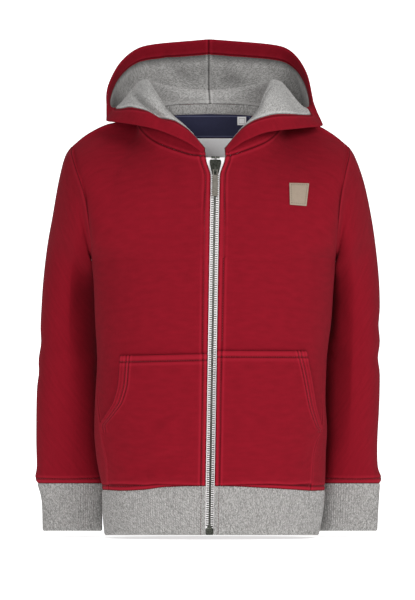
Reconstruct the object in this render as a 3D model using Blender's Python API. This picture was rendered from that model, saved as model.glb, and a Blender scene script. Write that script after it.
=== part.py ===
"""A child's zipped hoodie, size 122, filled out and hollow, with its hood down.

Millimetres here, metres in the scene. +Z is up, the front faces -Y and the wearer's left is +X.
The origin lies between the shoulders, at the height where the shoulder seams meet the neck.
Every cloth piece is a wall between an outer grid of points and the same grid moved inwards.
"""

import math

import bmesh
import bpy
import numpy as np
from mathutils import Matrix, Vector
from mathutils.bvhtree import BVHTree

MM = 0.001
RIGHT, LEFT = "right", "left"
SIGN = {RIGHT: -1, LEFT: 1}

# Cloth
CLOTH = 1.6  # sweatshirt cloth
RIB = 2.2  # doubled rib
SHELL = 1.2  # hood shell
LINING = 1.2  # hood lining and facing
SEAM_GAP = 0.3
LAYER_GAP = 0.4  # between the hood's shell and its lining
RIB_RAISE = 0.45
FULLNESS = 2.3  # exponent of the body's rounded cross section

# Cut
HEM_BOTTOM = -498.0
UNDERARM = -166.0
BAND_SEAM = -444.0  # height of the hem band's seam at the back and the sides
FACING_WIDTH = 20.0
BODY_RIBS = 252
CUFF_RIBS = 60

# Grid sizes
NECK_STEPS = 7  # neckline columns of one front, and of half the back
SHOULDER_STEPS = 5
LOWER_ROWS = 7
ARMHOLE_STEPS = 10  # rows of a panel above the underarm

# Zip
ZIP_TOP = -44.0
ZIP_TOP_X = 6.6
ZIP_BOTTOM_X = -0.8
TAPE_SHOWS = 5.8  # from the middle of the zip to a front's edge
TAPE_SPREAD = 11.4  # the same at the top, where the fronts part
SPREAD_START = -68.0  # height at which the fronts begin to part
TAPE_WIDTH = 14.0
TAPE = 0.8
CHAIN_WIDTH = 4.4
CHAIN = 2.4


def table(names, *rows):
    """The rows as one array for each named column."""
    columns = np.array(rows, float).T
    return dict(zip(names.split(), columns))


# Half widths and depths of the body, from the hem's edge up to the neck
BODY = table(
    "height right left front back",
    (-498, 126, 130, 84, 87),
    (-470, 128.5, 135, 89, 90),
    (-444, 129, 137.5, 92, 92),
    (-424, 133, 138.5, 97, 95),
    (-400, 137, 139, 100, 97),
    (-372, 139, 140.5, 102, 98),
    (-336, 138, 138.6, 103, 99),
    (-289, 135.5, 140, 103, 99),
    (-240, 138, 145.6, 103, 99),
    (-200, 139.5, 148.3, 102, 98),
    (-166, 142.5, 151, 100, 97),
    (-110, 148, 155, 93, 93),
    (-75, 152, 158, 86, 87),
    (-43, 160, 160, 76, 79),
    (0, 160, 160, 66, 72),
    (30, 160, 160, 60, 66),
)

# Height of the seam that joins the hem band, across the front
HEM_SEAM = table(
    "across height",
    (-129, -444),
    (-106, -445.4),
    (-80, -444.2),
    (-54, -441),
    (-15, -439.7),
    (10, -439.7),
    (65, -442),
    (137, -446.5),
)

# How far round to the side the side seam lies, as a share of the half width
SIDE_SEAM = table(
    "height right left",
    (-498, 0.953, 0.88),
    (-444, 0.945, 0.88),
    (-407, 0.915, 0.885),
    (-389, 0.93, 0.905),
    (-368, 0.945, 0.955),
    (-330, 0.985, 0.985),
    (-290, 1, 1),
    (-166, 1, 1),
)

# The neckline of one side, from the zip over the shoulder to the middle of the back
NECK_FRONT = table(
    "right left depth height",
    (5.0, 18.2, -76, -43),
    (28, 32, -73.5, -40),
    (65, 67, -58, -26.5),
    (83, 84, -31, -12),
    (88, 90, 0, 0),
)
NECK_BACK = table(
    "right left depth height",
    (88, 90, 0, 0),
    (85, 87, 27, 8),
    (66, 67, 53, 15),
    (35, 35, 65, 18.5),
    (0, 0, 68, 19.5),
)
SHOULDER = table(
    "right left depth height",
    (88, 90, 0, 0),
    (107, 108, 1, -1.2),
    (126, 128, 2, -5),
    (149, 149, 3, -17),
    (166, 166, 3, -31),
)
ARMHOLE_FRONT = table(
    "right left depth height",
    (142.5, 151, 0, -166),
    (143, 152, -34, -150),
    (146, 154.5, -54, -118),
    (151.5, 158, -57, -88),
    (160, 163, -43, -62),
    (166, 167.5, -20, -41),
    (166, 166, 3, -31),
)
ARMHOLE_BACK = table(
    "right left depth height",
    (142.5, 151, 0, -166),
    (142.9, 151.5, 36, -155),
    (144.4, 153, 56, -128),
    (146.8, 155, 62, -95),
    (158, 160, 52, -65),
    (165, 166, 28, -42),
    (166, 166, 3, -31),
)

# Sleeve rings, from the armhole down to the cuff: the outer and inner edges as seen from the front,
# the inner edge's depth while the ring keeps the armhole's shape, the depths of its front and back,
# how far it has left the armhole's shape, and how hollow its front quarter is beside the body
SLEEVE_COLUMNS = "outer outer_height inner inner_height under front back formed hollow"
SLEEVE = {
    RIGHT: table(
        SLEEVE_COLUMNS,
        (174.5, -45, 144.8, -170.5, 14, -50, 65, 0.12, 2.0),
        (182, -75, 142, -177, 24, -40, 72, 0.35, 1.9),
        (189, -115, 139.5, -187, 32, -24, 81, 0.7, 1.45),
        (195.5, -152, 136.8, -200, 40, -8, 88, 1, 1.25),
        (200.5, -196, 136, -216, 45, 2, 92, 1, 1.2),
        (203.5, -244, 134.5, -250, 45, 3, 89, 1, 1.25),
        (206.5, -292, 132.5, -292, 44, 2, 86, 1, 1.6),
        (208.3, -340, 133.5, -340, 44, 4, 84, 1, 1.9),
        (208.6, -385, 133, -385, 44, 7, 81, 1, 2.1),
        (208, -415, 130.5, -415, 44, 11, 77, 1, 2.1),
        (209.8, -429, 128, -429, 44, 14, 74, 1, 2.1),
        (206.5, -436.5, 127, -436.5, 44, 20, 68, 1, 2.1),
    ),
    LEFT: table(
        SLEEVE_COLUMNS,
        (174.5, -45, 152.8, -170.5, 14, -50, 65, 0.12, 2.0),
        (185, -75, 151, -177, 24, -40, 72, 0.35, 1.9),
        (193.5, -115, 148.3, -187, 32, -26, 81, 0.7, 1.7),
        (199, -152, 144.8, -200, 40, -12, 88, 1, 1.6),
        (203.2, -196, 143.5, -216, 45, -2, 92, 1, 1.6),
        (204.2, -244, 141, -250, 45, 1, 89, 1, 1.5),
        (204.2, -292, 137.5, -292, 44, 2, 86, 1, 1.25),
        (203.3, -340, 135.5, -340, 44, 4, 84, 1, 1.3),
        (201, -385, 136, -385, 44, 7, 81, 1, 1.6),
        (201.5, -415, 134.5, -415, 44, 11, 77, 1, 1.9),
        (205.8, -429, 133.5, -429, 44, 14, 74, 1, 2.1),
        (203.5, -436.5, 132.5, -436.5, 44, 20, 68, 1, 2.1),
    ),
}
ELBOW_FOLDS = {  # height, depth and reach of the soft rings where each sleeve bends a little
    RIGHT: ((-268, 2.2, 14), (-303, 1.6, 11)),
    LEFT: ((-246, 1.8, 13), (-285, 2.6, 12)),
}
ELBOW_RINGS = slice(4, -2)
ROUND = 2.2  # exponent of a sleeve's or a cuff's rounded cross section
CUFF_ROUND = 2.1  # the same for the cuff's side by the body
CUFF_COLUMNS = "outer inner height front back"
CUFF = {
    RIGHT: table(
        CUFF_COLUMNS,
        (206.5, 127, -436.5, 20, 68),
        (201.5, 126.5, -457, 25, 64),
        (200.2, 126, -493, 29, 62),
    ),
    LEFT: table(
        CUFF_COLUMNS,
        (203.5, 132.5, -436.5, 20, 68),
        (202, 132, -457, 25, 64),
        (200.2, 131, -493, 29, 62),
    ),
}

# The hood down: for stations along the neckline, from the zip (0) to the middle of the back (1),
# where the cloth folds over, goes down inside, lies low, turns up and goes up outside.
HOOD = {
    "fold": table(
        "station across depth height",
        (0.00, 5.8, -77, -35.5),
        (0.09, 25.5, -70, -15),
        (0.25, 54, -50, 9),
        (0.39, 66, -24, 28),
        (0.51, 73, 6, 43),
        (0.61, 69, 30, 43),
        (0.74, 54, 52, 41),
        (0.87, 30, 69, 37),
        (1.00, 0, 77, 34.5),
    ),
    "inside": table(
        "station across depth height",
        (0.00, 6.2, -78.4, -34.8),
        (0.09, 25.8, -73, -12.8),
        (0.25, 55.5, -54.5, 13.5),
        (0.39, 70.5, -27.5, 35),
        (0.51, 82.5, 5, 46),
        (0.61, 85, 34, 39.5),
        (0.74, 70, 66, 26),
        (0.87, 38, 87, 14),
        (1.00, 0, 97, 4),
    ),
    "low": table(
        "station across depth height",
        (0.00, 6.8, -79.4, -34.9),
        (0.09, 26.3, -77, -12.7),
        (0.25, 58, -60.5, 13.5),
        (0.39, 77, -32, 34.5),
        (0.51, 91, 2, 38),
        (0.61, 97, 33, 14),
        (0.74, 88, 78, -22),
        (0.87, 58, 104, -66),
        (1.00, 0, 109, -86),
    ),
    "under": table(
        "station across depth height",
        (0.00, 7.4, -80.4, -35.6),
        (0.09, 27, -80.6, -15),
        (0.25, 61, -66.5, 9),
        (0.39, 86, -38, 25),
        (0.51, 104, -3, 22),
        (0.61, 109, 27, 5),
        (0.74, 102, 78, -32),
        (0.87, 72, 118, -74),
        (1.00, 0, 130, -95),
    ),
    "outside": table(
        "station across depth height",
        (0.00, 8.2, -81.6, -37),
        (0.09, 27.8, -84, -19.5),
        (0.25, 65, -72, 0.5),
        (0.39, 95.5, -43.5, 11.5),
        (0.51, 116, -10, 10),
        (0.61, 120, 18, 16),
        (0.74, 115, 64, 14),
        (0.87, 92, 112, 4),
        (1.00, 0, 143, -22),
    ),
}
HOOD_RIM = table(
    "station right left depth right_height left_height",
    (0.00, 9, 20, -83, -39.5, -39.5),
    (0.09, 27, 44, -88, -27, -24),
    (0.25, 69, 72, -76, -10, -14),
    (0.39, 104, 112, -48, -3.5, -9.5),
    (0.51, 124.5, 135.5, -16, -0.5, -6),
    (0.61, 123.8, 124, 10, 30, 22),
    (0.74, 114, 115, 44, 59.5, 58),
    (0.87, 80, 87, 76, 88.5, 88),
    (1.00, 2.5, 2.5, 92, 97, 97),
)
HOOD_ROWS = (0, 0.65, 1, 1.4, 1.9, 2.6, 3, 3.4, 3.8, 4.2)  # in lines of the tables, up from the neck
RISING_ROWS = 3  # from the last of these to the facing
FACING_ROWS = 2
HOOD_SPLIT = range(6, 14)  # steps of the neckline where the hood has two columns
HOOD_MIDDLE = -1.5
HOOD_LEAN = {RIGHT: 0.0, LEFT: 12.0}  # further from the middle at the zip, which is off centre
HOOD_LEAN_END = 0.5

# Pockets, as seen from the front: the opening runs from the top corner down to the side seam
POCKET_TOP = {RIGHT: (-282.2, -279.8), LEFT: (-276.4, -276)}  # at the opening, at the zip
POCKET_OPENING = {
    RIGHT: table("across height", (107, -282.2), (107.5, -312), (112.5, -337), (121, -352), (130, -365.5)),
    LEFT: table("across height", (115, -276.4), (118.5, -303), (124, -342), (130.5, -364), (135, -376)),
}
POCKET_FOOT = {"side": -437.0, "zip": -438.2}  # height of its lower edge
POCKET = 1.6
POCKET_GAPE = 3.0  # how far the opening's edge stands off the front
POCKET_LIFT = 1.1
POCKET_OPEN = 0.66  # share of its height, from the top, that gapes
POCKET_INSET = {"zip": 0.8, "side": 1.2}  # from the front's edge and from the side seam
POCKET_STEPS = (9, 8)

# Neck tape, labels and patch: left, right, bottom, top, and how many walls lie under them
TAPE_HEIGHT = 10.5
TAPE_BELOW_SEAM = 1.5
NECK_TAPE_SPAN = (-62.0, 60.0)
NECK_LABEL = (-38.5, 44.0, -21.5, 5.4)
CARE_LABEL = (-27.0, 38.0, -52.0, -22.0)
SIZE_TAG = (33.0, 43.5, -6.0, 4.0)
LABEL = 1.0
PATCH_CORNERS = ((95.7, -101.8), (115.4, -103.4), (118.6, -76.6), (95.0, -76.0))
PATCH = 1.3

# Slider and pull, in their own frame: x across, y down the zip, z out from the front
SLIDER_HEIGHT = -47.5  # height of the slider's top
SLIDER_LENGTH = 19.0
SLIDER_WIDE = 13.6
SLIDER_NARROW = 8.0
PLATE = 1.3
PLATE_GAP = 0.35
ARCH_WIDTH = 2.6
ARCH_TOP, ARCH_BOTTOM = 4.0, 17.0
ARCH_RISE = 4.4
ARCH_WALL = 1.2
PULL_WIDTH = 6.4
PULL_LENGTH = 24.5
PULL = 1.5
PULL_NECK = 8.0
PULL_BAR = 1.3
PULL_CLEAR = 0.35  # between the tab at rest and what it lies over
TAPE_BEHIND = SEAM_GAP + 0.25  # how far the zip's tape lies behind the fronts
CHAIN_ABOVE_SLIDER = 4.6  # the chain ends this far under the slider's top
CHEST_BEND = -150.0  # height above which the chest curves more
POST_WIDTH = 2.8
TAB_RADIUS = 1.8
SHOULDER_INSET = 1.2  # the slider's rounded corners
BOX_WIDTH = 9.2
BOX_HEIGHT = 7.0
BOX_DEPTH = 2.4


# ---------------------------------------------------------------- curves

def spline(points, count):
    """count points evenly along a smooth curve through the points."""
    points = np.asarray(points, float)
    dense = smooth(points, np.linspace(0, len(points) - 1, 40 * len(points)))
    walked = np.concatenate([[0], np.cumsum(np.linalg.norm(np.diff(dense, axis=0), axis=1))])
    places = np.linspace(0, walked[-1], count)
    return np.stack([np.interp(places, walked, dense[:, i]) for i in range(3)], axis=1)


def smooth(points, places):
    """The Catmull-Rom curve through the points, at places counted in points."""
    points = np.asarray(points, float)
    padded = np.vstack([2 * points[0] - points[1], points, 2 * points[-1] - points[-2]])
    first = np.clip(np.floor(places).astype(int), 0, len(points) - 2)
    t = (np.asarray(places) - first)[:, None]
    a, b, c, d = (padded[first + i] for i in range(4))
    return 0.5 * (2 * b + (c - a) * t + (2 * a - 5 * b + 4 * c - d) * t**2 + (3 * b - a - 3 * c + d) * t**3)


def along(columns, key, name, value):
    """A column of a table at a value of its key column, on a smooth curve that never overshoots."""
    x, y = columns[key], columns[name]
    slopes = np.diff(y) / np.diff(x)
    before, after = slopes[:-1], slopes[1:]
    same = before * after > 0
    inner = np.where(same, 2 * before * after / np.where(same, before + after, 1), 0)
    tangents = np.concatenate([[slopes[0]], inner, [slopes[-1]]])
    value = float(np.clip(value, x[0], x[-1]))
    i = int(np.clip(np.searchsorted(x, value) - 1, 0, len(x) - 2))
    span = x[i + 1] - x[i]
    t = (value - x[i]) / span
    return float(
        y[i] * (1 + 2 * t) * (1 - t) ** 2
        + y[i + 1] * t * t * (3 - 2 * t)
        + span * (tangents[i] * t * (1 - t) ** 2 - tangents[i + 1] * t * t * (1 - t))
    )


def side_points(columns, side):
    """The points of a table whose half widths are given for both sides."""
    return np.stack([SIGN[side] * columns[side], columns["depth"], columns["height"]], axis=1)


def ease(value):
    value = np.clip(value, 0, 1)
    return value * value * (3 - 2 * value)


# ---------------------------------------------------------------- body

def zip_x(height):
    share = (height - ZIP_TOP) / (HEM_BOTTOM - ZIP_TOP)
    return ZIP_TOP_X + share * (ZIP_BOTTOM_X - ZIP_TOP_X)


def front_edge(side, height):
    """x of a front's edge beside the zip."""
    spread = ease((height - SPREAD_START) / (ZIP_TOP - SPREAD_START))
    return zip_x(height) + SIGN[side] * (TAPE_SHOWS + spread * (TAPE_SPREAD - TAPE_SHOWS))


def ring_point(side, height, angle):
    """The body's surface at a height, at an angle from the middle of the front."""
    width = along(BODY, "height", side, height)
    depth = along(BODY, "height", "front" if angle < math.pi / 2 else "back", height)
    power = 2 / FULLNESS
    x = SIGN[side] * width * math.sin(angle) ** power
    y = depth * abs(math.cos(angle)) ** power
    return np.array([x, -y if angle < math.pi / 2 else y, height])


def side_angle(side, height):
    share = min(along(SIDE_SEAM, "height", side, height), 1)
    return math.asin(share ** (FULLNESS / 2))


def edge_angle(side, height):
    """The angle at which the ring meets the front's edge by the zip."""
    width = along(BODY, "height", side, height)
    return math.asin((abs(front_edge(side, height)) / width) ** (FULLNESS / 2))


def front_edge_point(side, height):
    point = ring_point(side, height, edge_angle(side, height))
    point[0] = front_edge(side, height)
    return point


def lower_row(side, front, share):
    """A row of a front or a half back between the hem seam and the underarm."""
    columns = NECK_STEPS + SHOULDER_STEPS
    row = []
    for column in range(columns + 1):
        s = column / columns
        level = UNDERARM * share + (1 - share) * BAND_SEAM
        start = edge_angle(side, level) if front else math.pi
        angle = start + s * (side_angle(side, level) - start)
        across = ring_point(side, level, angle if front else side_angle(side, level))[0]
        seam = along(HEM_SEAM, "across", "height", across)
        if not front:
            seam = BAND_SEAM + s**2 * (seam - BAND_SEAM)
        height = UNDERARM * share + (1 - share) * seam
        point = ring_point(side, height, angle)
        if front and column == 0:
            point[0] = front_edge(side, height)
        row.append(point)
    return np.array(row)


def quarter(start, end, columns):
    """A rounded quarter of a cross section between two points."""
    angle = np.linspace(0, math.pi / 2, columns + 1)
    power = 2 / FULLNESS
    across = np.sin(angle)[:, None] ** power
    deep = np.abs(np.cos(angle)) ** power
    row = start + (end - start) * across
    row[:, 1] = end[1] + (start[1] - end[1]) * deep
    return row


def top_edge(side, front):
    neck = NECK_FRONT if front else NECK_BACK
    points = side_points(neck, side)
    points = points if front else points[::-1]
    neck_part = spline(points, NECK_STEPS + 1)
    shoulder_part = spline(side_points(SHOULDER, side), SHOULDER_STEPS + 1)
    return np.vstack([neck_part[:-1], shoulder_part])


def upper_rows(side, front, top):
    """The rows from the underarm to the neckline and shoulder, which turn into the top edge."""
    armhole = spline(side_points(ARMHOLE_FRONT if front else ARMHOLE_BACK, side), ARMHOLE_STEPS + 1)
    settle = np.linspace(0, 1, len(top))[:, None] ** 3
    rows = []
    for i in range(1, ARMHOLE_STEPS):
        share = i / ARMHOLE_STEPS
        height = UNDERARM + share * (top[0][2] - UNDERARM)
        start = front_edge_point(side, height) if front else ring_point(side, height, math.pi)
        row = quarter(start, armhole[i], len(top) - 1)
        blend = ease((share - 0.25) / 0.75)
        weights = np.array([blend, blend**1.5, blend**0.75])
        from_start = row * (1 - weights) + (top - top[0] + start) * weights
        from_top = row * (1 - weights) + top * weights
        row = from_start * (1 - settle) + from_top * settle
        row[0], row[-1] = start, armhole[i]
        rows.append(row)
    return rows


def panel(side, front):
    """Rows from the hem seam to the neckline and shoulder of a front, or of half the back."""
    rows = [lower_row(side, front, i / LOWER_ROWS) for i in range(LOWER_ROWS + 1)]
    top = top_edge(side, front)
    return np.array(rows + upper_rows(side, front, top) + [top])


# ---------------------------------------------------------------- sleeves and cuffs

def section(middle, outer, front, back, hollow, count):
    """A ring about a middle point: it starts at its outer edge and goes round by the front."""
    centre = (front + back) / 2
    ring = []
    for k in range(count):
        angle = 2 * math.pi * k / count
        c, s = math.cos(angle), math.sin(angle)
        power = 2 / (hollow if c < 0 < s else ROUND)
        across = math.copysign(abs(c) ** power, c)
        deep = math.copysign(abs(s) ** power, s)
        point = middle + across * (outer - middle)
        point[1] = centre - deep * (back - front) / 2
        ring.append(point)
    return np.array(ring)


def armhole_ring(side):
    """The armhole from the shoulder tip down the front, under the arm and up the back."""
    front = spline(side_points(ARMHOLE_FRONT, side), ARMHOLE_STEPS + 1)
    back = spline(side_points(ARMHOLE_BACK, side), ARMHOLE_STEPS + 1)
    return np.vstack([front[::-1], back[1:-1]])


def sleeve_rings(side):
    hole = armhole_ring(side)
    tip, under = hole[0], hole[ARMHOLE_STEPS]
    axis = tip - under
    shares = (hole - under) @ axis / (axis @ axis)
    offsets = hole - under - shares[:, None] * axis
    rings = [hole]
    rows = SLEEVE[side]
    for i in range(len(rows["outer"])):
        value = {name: rows[name][i] for name in rows}
        outer = np.array([SIGN[side] * value["outer"], 0, value["outer_height"]])
        inner = np.array([SIGN[side] * value["inner"], 0, value["inner_height"]])
        formed = section((outer + inner) / 2, outer, value["front"], value["back"],
                         value["hollow"], 2 * ARMHOLE_STEPS)
        outer[1], inner[1] = tip[1] + 3, value["under"]
        moved = inner + shares[:, None] * (outer - inner) + offsets
        rings.append(moved + value["formed"] * (formed - moved))
    return np.array(rings)


def elbow_folds(side, rings):
    """Soft rings pressed in where each sleeve bends a little."""
    middles = rings.mean(axis=1)
    for ring, middle in zip(rings[ELBOW_RINGS], middles[ELBOW_RINGS]):
        for height, depth, reach in ELBOW_FOLDS[side]:
            near = np.exp(-(((ring[:, 2] - height) / reach) ** 2))
            outward = ring - middle
            outward /= np.linalg.norm(outward, axis=1)[:, None]
            ring -= outward * (near * depth)[:, None]
    return rings


def cuff_rings(side, count):
    rows = CUFF[side]
    rings = []
    for i in range(len(rows["height"])):
        outer = np.array([SIGN[side] * rows["outer"][i], 0, rows["height"][i]])
        inner = np.array([SIGN[side] * rows["inner"][i], 0, rows["height"][i]])
        middle = (outer + inner) / 2
        rings.append(section(middle, outer, rows["front"][i], rows["back"][i], CUFF_ROUND, count))
    return np.array(rings)


# ---------------------------------------------------------------- hood

def hood_grid(side, neck, neck_normals):
    """Columns from the zip to the middle of the back, each from the neck seam to the rim."""
    grid = []
    sign = SIGN[side]
    walked = np.concatenate([[0], np.cumsum(np.linalg.norm(np.diff(neck, axis=0), axis=1))])
    for point, normal, share in zip(neck, neck_normals, walked / walked[-1]):
        controls = [point - normal * CLOTH / 2]
        for line in HOOD.values():
            across, depth, height = (along(line, "station", c, share) for c in ("across", "depth", "height"))
            across += HOOD_LEAN[side] * ease(1 - share / HOOD_LEAN_END)
            controls.append(np.array([sign * across, depth, height]))
        rim_x = sign * along(HOOD_RIM, "station", side, share)
        rim_z = along(HOOD_RIM, "station", side + "_height", share)
        controls.append(np.array([rim_x, along(HOOD_RIM, "station", "depth", share), rim_z]))
        if share > 1 - 1e-6:
            for control in controls[1:]:
                control[0] = HOOD_MIDDLE
            controls[0][0] = 0
        steps = np.linspace(0, len(controls) - 1, 241)
        dense = smooth(controls, steps)
        lengths = np.concatenate([[0], np.cumsum(np.linalg.norm(np.diff(dense, axis=0), axis=1))])
        total = lengths[-1]
        facing = min(FACING_WIDTH, 0.45 * total)
        start = total - facing
        body = np.interp(HOOD_ROWS, steps, lengths)
        body *= min(1, 0.8 * start / body[-1])
        rising = np.linspace(body[-1], start, RISING_ROWS + 1)[1:]
        edge = np.linspace(start, total, FACING_ROWS + 1)[1:]
        places = np.concatenate([body, rising, edge])
        grid.append([[np.interp(p, lengths, dense[:, i]) for i in range(3)] for p in places])
    return np.array(grid)


# ---------------------------------------------------------------- meshes

class Seams:
    """Normals shared by all the grids that meet at a seam, so that their walls meet squarely."""

    def __init__(self):
        self.sums = {}

    @staticmethod
    def key(point):
        return tuple(np.round(point, 2) + 0.0)

    def add(self, grid, flip=False, closed=False):
        """Adds a grid's face normals, which point out where rows x columns is outward."""
        rows, columns = grid.shape[:2]
        for i in range(rows - 1):
            for j in range(columns if closed else columns - 1):
                k = (j + 1) % columns
                corners = grid[i, j], grid[i, k], grid[i + 1, k], grid[i + 1, j]
                normal = np.cross(corners[2] - corners[0], corners[3] - corners[1])
                normal /= np.linalg.norm(normal) * (-1 if flip else 1)
                for corner in corners:
                    key = self.key(corner)
                    self.sums[key] = self.sums.get(key, 0) + normal

    def normals(self, grid):
        found = np.array([[self.sums[self.key(point)] for point in row] for row in grid])
        return found / np.linalg.norm(found, axis=2)[:, :, None]


def grid_normals(grid, flip=False, closed=False):
    seams = Seams()
    seams.add(grid, flip, closed)
    return seams.normals(grid)


def draw_back(grid, edges, amount=SEAM_GAP / 2):
    """The grid with the named edges moved inwards along it, square to each edge."""
    grid = grid.copy()
    for edge in edges:
        axis, here, there = {"first_row": (0, 0, 1), "last_row": (0, -1, -2),
                             "first_column": (1, 0, 1), "last_column": (1, -1, -2)}[edge]
        line, inside = (grid[here], grid[there]) if axis == 0 else (grid[:, here], grid[:, there])
        step = inside - line
        tangent = np.gradient(line, axis=0)
        tangent /= np.linalg.norm(tangent, axis=1)[:, None]
        step -= (step * tangent).sum(axis=1)[:, None] * tangent
        line += amount * step / np.linalg.norm(step, axis=1)[:, None]
    return grid


def make_object(name, vertices, faces, colour, roughness, metallic=0.0):
    mesh = bpy.data.meshes.new(name)
    mesh.from_pydata([tuple(v * MM) for v in np.asarray(vertices, float)], [], faces)
    shape = bmesh.new()
    shape.from_mesh(mesh)
    bmesh.ops.recalc_face_normals(shape, faces=shape.faces)
    if shape.calc_volume(signed=True) < 0:
        bmesh.ops.reverse_faces(shape, faces=shape.faces)
    shape.to_mesh(mesh)
    shape.free()
    mesh.shade_smooth()
    mesh.set_sharp_from_angle(angle=math.radians(50))
    made = bpy.data.objects.new(name, mesh)
    bpy.context.scene.collection.objects.link(made)
    mesh.materials.append(material(name, colour, roughness, metallic))
    return made


def material(name, colour, roughness, metallic):
    made = bpy.data.materials.new(name)
    made.use_nodes = True
    shader = made.node_tree.nodes["Principled BSDF"]
    shader.inputs["Base Color"].default_value = (*colour, 1)
    shader.inputs["Roughness"].default_value = roughness
    shader.inputs["Metallic"].default_value = metallic
    return made


def edge_faces(vertices, half, p, q):
    """The wall's end between two outer points: cut the same way in both pieces that meet there."""
    p, q = sorted((p, q), key=lambda i: tuple(vertices[i][::-1]))
    return [(p, q, half + q), (p, half + q, half + p)]


def wall(name, outer, inner, finish, closed=False):
    """A closed wall between two grids of the same size. A closed grid joins its last column to its first."""
    rows, columns = outer.shape[:2]
    steps = columns if closed else columns - 1
    vertices = np.vstack([outer.reshape(-1, 3), inner.reshape(-1, 3)])
    half = rows * columns
    faces = []
    for i in range(rows - 1):
        for j in range(steps):
            k = (j + 1) % columns
            a, b, c, d = i * columns + j, i * columns + k, (i + 1) * columns + k, (i + 1) * columns + j
            for corners in ((a, b, c), (a, c, d)):
                faces.append(corners)
                faces.append(tuple(half + corner for corner in corners[::-1]))
    for i in (0, rows - 1):
        for j in range(steps):
            faces += edge_faces(vertices, half, i * columns + j, i * columns + (j + 1) % columns)
    if not closed:
        for j in (0, columns - 1):
            for i in range(rows - 1):
                faces += edge_faces(vertices, half, i * columns + j, (i + 1) * columns + j)
    return make_object(name, vertices, faces, *finish)


def ribbed_wall(name, plain, normals, thickness, ribs, finish, closed):
    """A wall whose outer side has raised ribs down it, over a plain inner side."""
    rows, columns = plain.shape[:2]
    steps = columns if closed else columns - 1
    each = round(2 * ribs / steps)
    outer = []
    for i in range(rows):
        line = []
        for j in range(steps):
            k = (j + 1) % columns
            for m in range(each):
                share = m / each
                raised = RIB_RAISE if m % 2 else 0
                point = plain[i, j] * (1 - share) + plain[i, k] * share
                normal = normals[i, j] * (1 - share) + normals[i, k] * share
                line.append(point + raised * normal)
        if not closed:
            line.append(plain[i, -1])
        outer.append(line)
    outer = np.array(outer)
    inner = plain - normals * thickness
    wide = outer.shape[1]
    half = rows * wide
    vertices = np.vstack([outer.reshape(-1, 3), inner.reshape(-1, 3)])
    faces = []
    for i in range(rows - 1):
        for j in range(wide if closed else wide - 1):
            k = (j + 1) % wide
            faces.append((i * wide + j, i * wide + k, (i + 1) * wide + k, (i + 1) * wide + j))
        for j in range(steps):
            k = (j + 1) % columns
            ring = half + i * columns
            faces.append((ring + columns + j, ring + columns + k, ring + k, ring + j))
    for i in (0, rows - 1):
        turn = -1 if i == 0 else 1
        for j in range(steps):
            a, b = half + i * columns + j, half + i * columns + (j + 1) % columns
            last = i * wide + (j + 1) * each % wide if closed else i * wide + (j + 1) * each
            for m in range(each):
                p = i * wide + j * each + m
                q = last if m == each - 1 else p + 1
                faces.append((p, q, a)[::turn])
            faces.append((last, b, a)[::turn])
    if not closed:
        for i in range(rows - 1):
            a, b = i * wide, (i + 1) * wide
            c, d = half + i * columns, half + (i + 1) * columns
            faces.append((a, b, d, c))
            faces.append((b + wide - 1, a + wide - 1, c + columns - 1, d + columns - 1))
    return make_object(name, vertices, faces, *finish)


def prism(name, outline, bottom, top, finish):
    """An outline in x and y, raised from bottom to top along z."""
    count = len(outline)
    vertices = [(x, y, bottom) for x, y in outline] + [(x, y, top) for x, y in outline]
    faces = [tuple(range(count))[::-1], tuple(range(count, 2 * count))]
    faces += [(i, (i + 1) % count, count + (i + 1) % count, count + i) for i in range(count)]
    return make_object(name, vertices, faces, *finish)


def box(name, low, high, finish):
    outline = [(low[0], low[1]), (high[0], low[1]), (high[0], high[1]), (low[0], high[1])]
    return prism(name, outline, low[2], high[2], finish)


def combine(target, operation, others):
    for other in others:
        other.hide_render = True
        other.display_type = "WIRE"
        cut = target.modifiers.new(other.name, "BOOLEAN")
        cut.operation = operation
        cut.solver = "EXACT"
        cut.object = other


# ---------------------------------------------------------------- finishes: colour, roughness, metal

RED = ((0.235, 0.012, 0.022), 0.95)
GREY = ((0.30, 0.29, 0.28), 0.95)
WHITE = ((0.80, 0.79, 0.78), 0.8)
NAVY = ((0.015, 0.015, 0.04), 0.85)
PALE = ((0.62, 0.48, 0.34), 0.8)
DARK_METAL = ((0.07, 0.07, 0.065), 0.35, 1.0)
PULL_METAL = ((0.20, 0.19, 0.17), 0.4, 1.0)


# ---------------------------------------------------------------- the pieces

def tree(name):
    """A search tree of an object's faces, in millimetres."""
    mesh = bpy.data.objects[name].data
    points = [Vector(v.co) / MM for v in mesh.vertices]
    return BVHTree.FromPolygons(points, [tuple(p.vertices) for p in mesh.polygons])


def lay_on(search, across, height, start, towards, tries=1):
    """Where a line along y from a start meets a piece. Each further try is 0.4 mm nearer the middle."""
    for step in range(tries):
        origin = Vector((across - math.copysign(0.4 * step, across), start, height))
        hit, normal, _, _ = search.ray_cast(origin, Vector((0, towards, 0)))
        if hit is not None:
            return np.array(hit), np.array(normal)
    return None, None


def laid_patch(name, search, places, start, towards, gap, thickness, finish):
    """A wall that follows the piece it lies on, over a grid of (x, z) places. A gap may differ by place."""
    shape = np.array(places).shape[:2]
    base = np.zeros((*shape, 3))
    away = np.zeros((*shape, 3))
    for i in range(shape[0]):
        for j in range(shape[1]):
            across, height = places[i][j]
            hit, normal = lay_on(search, across, height, start, towards, 20)
            base[i, j] = hit
            away[i, j] = normal * (-1 if normal[1] * towards > 0 else 1)
    for _ in range(2):
        mean = away.copy()
        mean[1:] += away[:-1]
        mean[:-1] += away[1:]
        mean[:, 1:] += away[:, :-1]
        mean[:, :-1] += away[:, 1:]
        away = mean / np.linalg.norm(mean, axis=2)[:, :, None]
    low = base + away * np.broadcast_to(gap, shape)[:, :, None]
    return wall(name, low + away * thickness, low, finish)


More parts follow.
